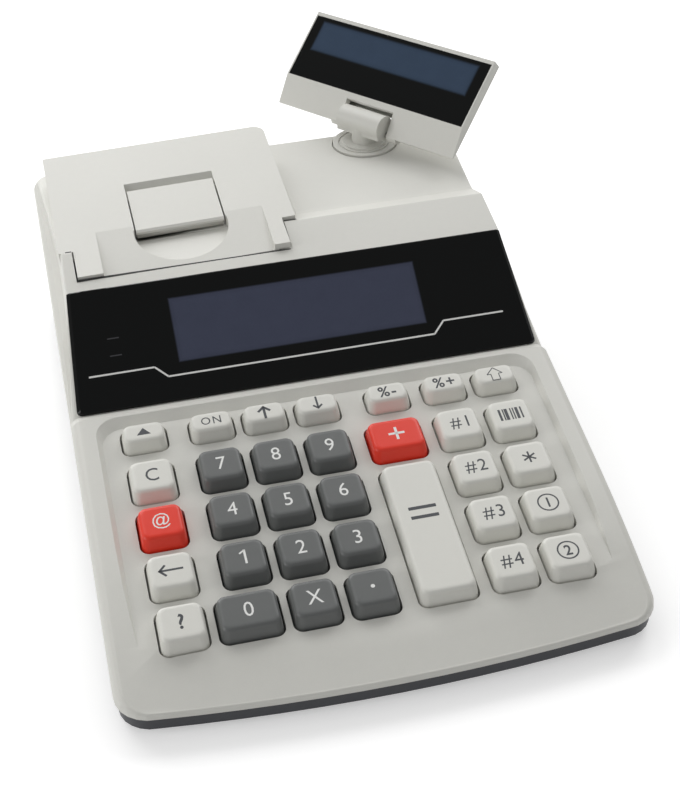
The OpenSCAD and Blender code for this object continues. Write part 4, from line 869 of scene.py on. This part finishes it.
# %% Hang the lip under the flap
lip_in = 0.3 * MM
lip_front, lip_rear = 1 * MM, 2.2 * MM
lip_top, lip_foot = 0.2 * MM, -2.2 * MM
flap_points = points_of("lid_latch")
flap_y = min(p.y for p in flap_points)
flap_edge = [p for p in flap_points if p.y < flap_y + 0.1 * MM]
flap_middle = sum(p.x for p in flap_edge) / len(flap_edge)
lip_outline = [(lip_front, lip_top), (lip_front, lip_foot), (lip_rear, lip_foot), (lip_rear, lip_top)]
lip_ends = []
for side in (-1, 1):
    corner = min((p for p in flap_edge if (p.x - flap_middle) * side > 0), key=lambda p: p.z)
    lip_ends.append([corner + Vector((-lip_in * side, y, z)) for y, z in lip_outline])
loft("flap_lip", lip_ends, Matrix.Identity(4), shell_plastic, "latch")
print("lip from", in_mm(lip_ends[0][0]), "to", in_mm(lip_ends[1][2]), "mm")

# %% [markdown]
# ## The customer's window
# The display head is turned aside on its post and leans back, and these two angles give the two
# directions of its panel: across, and up its slope. The panel's own points then give its lower
# left corner. The panel gets the same dark glass, with its display in the upper part.

# %% Glass of the customer's window
swivel = math.radians(-52)
lean = math.radians(48)
head_across = Vector((math.cos(swivel), math.sin(swivel), 0))
head_rearward = Vector((-math.sin(swivel), math.cos(swivel), 0))
head_upward = head_rearward * math.sin(lean) + Vector((0, 0, math.cos(lean)))
head_points = points_of("head_window")
head_left = min(p.dot(head_across) for p in head_points)
head_foot = min(p.dot(head_upward) for p in head_points)
head_corner = head_across * head_left + head_upward * head_foot
head_area = (5 * MM, 90 * MM, 13.5 * MM, 27.5 * MM)
head_glass = panel_glass(
    "head_glass", head_corner, head_across, head_upward, head_area, (0.045, 0.07, 0.115), edge=0.8 * MM)
dress("head_window", head_glass, 0.15)
print("corner of the head's panel:", in_mm(head_corner), "mm")

# %% [markdown]
# ## Floor and light
# The register stands on a white table. The floor is a large sheet whose own colour is near white.
# What the camera sees of it is lifted a little more, so that it fades into the white background
# while the soft shadow under the object stays. A broad lamp behind the register gives the forms,
# one behind on the right and one low on the left light its sides, and an even sky fills the
# shadows. The sky is white where the camera looks at it, and only half as bright as a light.

# %% White floor
table_white, table_glow = (0.8, 0.8, 0.8, 1), 0.42
floor_mesh = bmesh.new()
bmesh.ops.create_grid(floor_mesh, x_segments=2, y_segments=2, size=4)
floor_data = bpy.data.meshes.new("floor")
floor_mesh.to_mesh(floor_data)
floor_mesh.free()
floor = bpy.data.objects.new("floor", floor_data)
bpy.context.collection.objects.link(floor)
paper = Recipe("floor_paper")
rays = paper.node("LightPath", out="Is Camera Ray")
seen = rays.most(paper.node("LightPath", out="Is Glossy Ray"))
matt = paper.node("BsdfDiffuse", None, {"Color": table_white})
glow = paper.node("Emission", None, {"Color": (1, 1, 1, 1), "Strength": seen * table_glow})
paper.node("OutputMaterial", None, {"Surface": paper.node("AddShader", None, [matt, glow])})
floor_data.materials.append(paper.material)
print("floor:", [round(v, 1) for v in floor.dimensions], "m")

# %% Even sky
fill_strength = 0.5
world = bpy.data.worlds.new("sky")
bpy.context.scene.world = world
world.use_nodes = True
sky_nodes, sky_links = world.node_tree.nodes, world.node_tree.links
sky_nodes.clear()
path = sky_nodes.new("ShaderNodeLightPath")
shown = sky_nodes.new("ShaderNodeMath")
shown.operation = "MAXIMUM"
sky_links.new(path.outputs["Is Camera Ray"], shown.inputs[0])
sky_links.new(path.outputs["Is Transmission Ray"], shown.inputs[1])
brightness = sky_nodes.new("ShaderNodeMath")
brightness.operation = "MULTIPLY_ADD"
sky_links.new(shown.outputs[0], brightness.inputs[0])
brightness.inputs[1].default_value = 1 - fill_strength
brightness.inputs[2].default_value = fill_strength
backdrop = sky_nodes.new("ShaderNodeBackground")
sky_links.new(brightness.outputs[0], backdrop.inputs["Strength"])
sky_out = sky_nodes.new("ShaderNodeOutputWorld")
sky_links.new(backdrop.outputs[0], sky_out.inputs["Surface"])
print("sky as a light:", fill_strength)


# %% Lamps
def lamp(name, place, target, size, power):
    """Square lamp that points at a target"""
    data = bpy.data.lights.new(name, "AREA")
    data.shape = "SQUARE"
    data.size = size
    data.energy = power
    made = bpy.data.objects.new(name, data)
    made.location = place
    made.rotation_euler = (Vector(target) - Vector(place)).to_track_quat("-Z", "Y").to_euler()
    bpy.context.collection.objects.link(made)


register_middle = (0, 0.02, 0.05)
lamp("key_lamp", (-0.5, 1.5, 1.05), register_middle, 1.5, 22)
lamp("right_lamp", (0.9, 1.0, 1.1), register_middle, 0.9, 10)
lamp("side_lamp", (-1.5, -0.2, 0.5), (0, 0, 0.05), 0.7, 6)
bpy.context.scene.view_settings.view_transform = "Standard"
print("lamps:", len(bpy.data.lights))
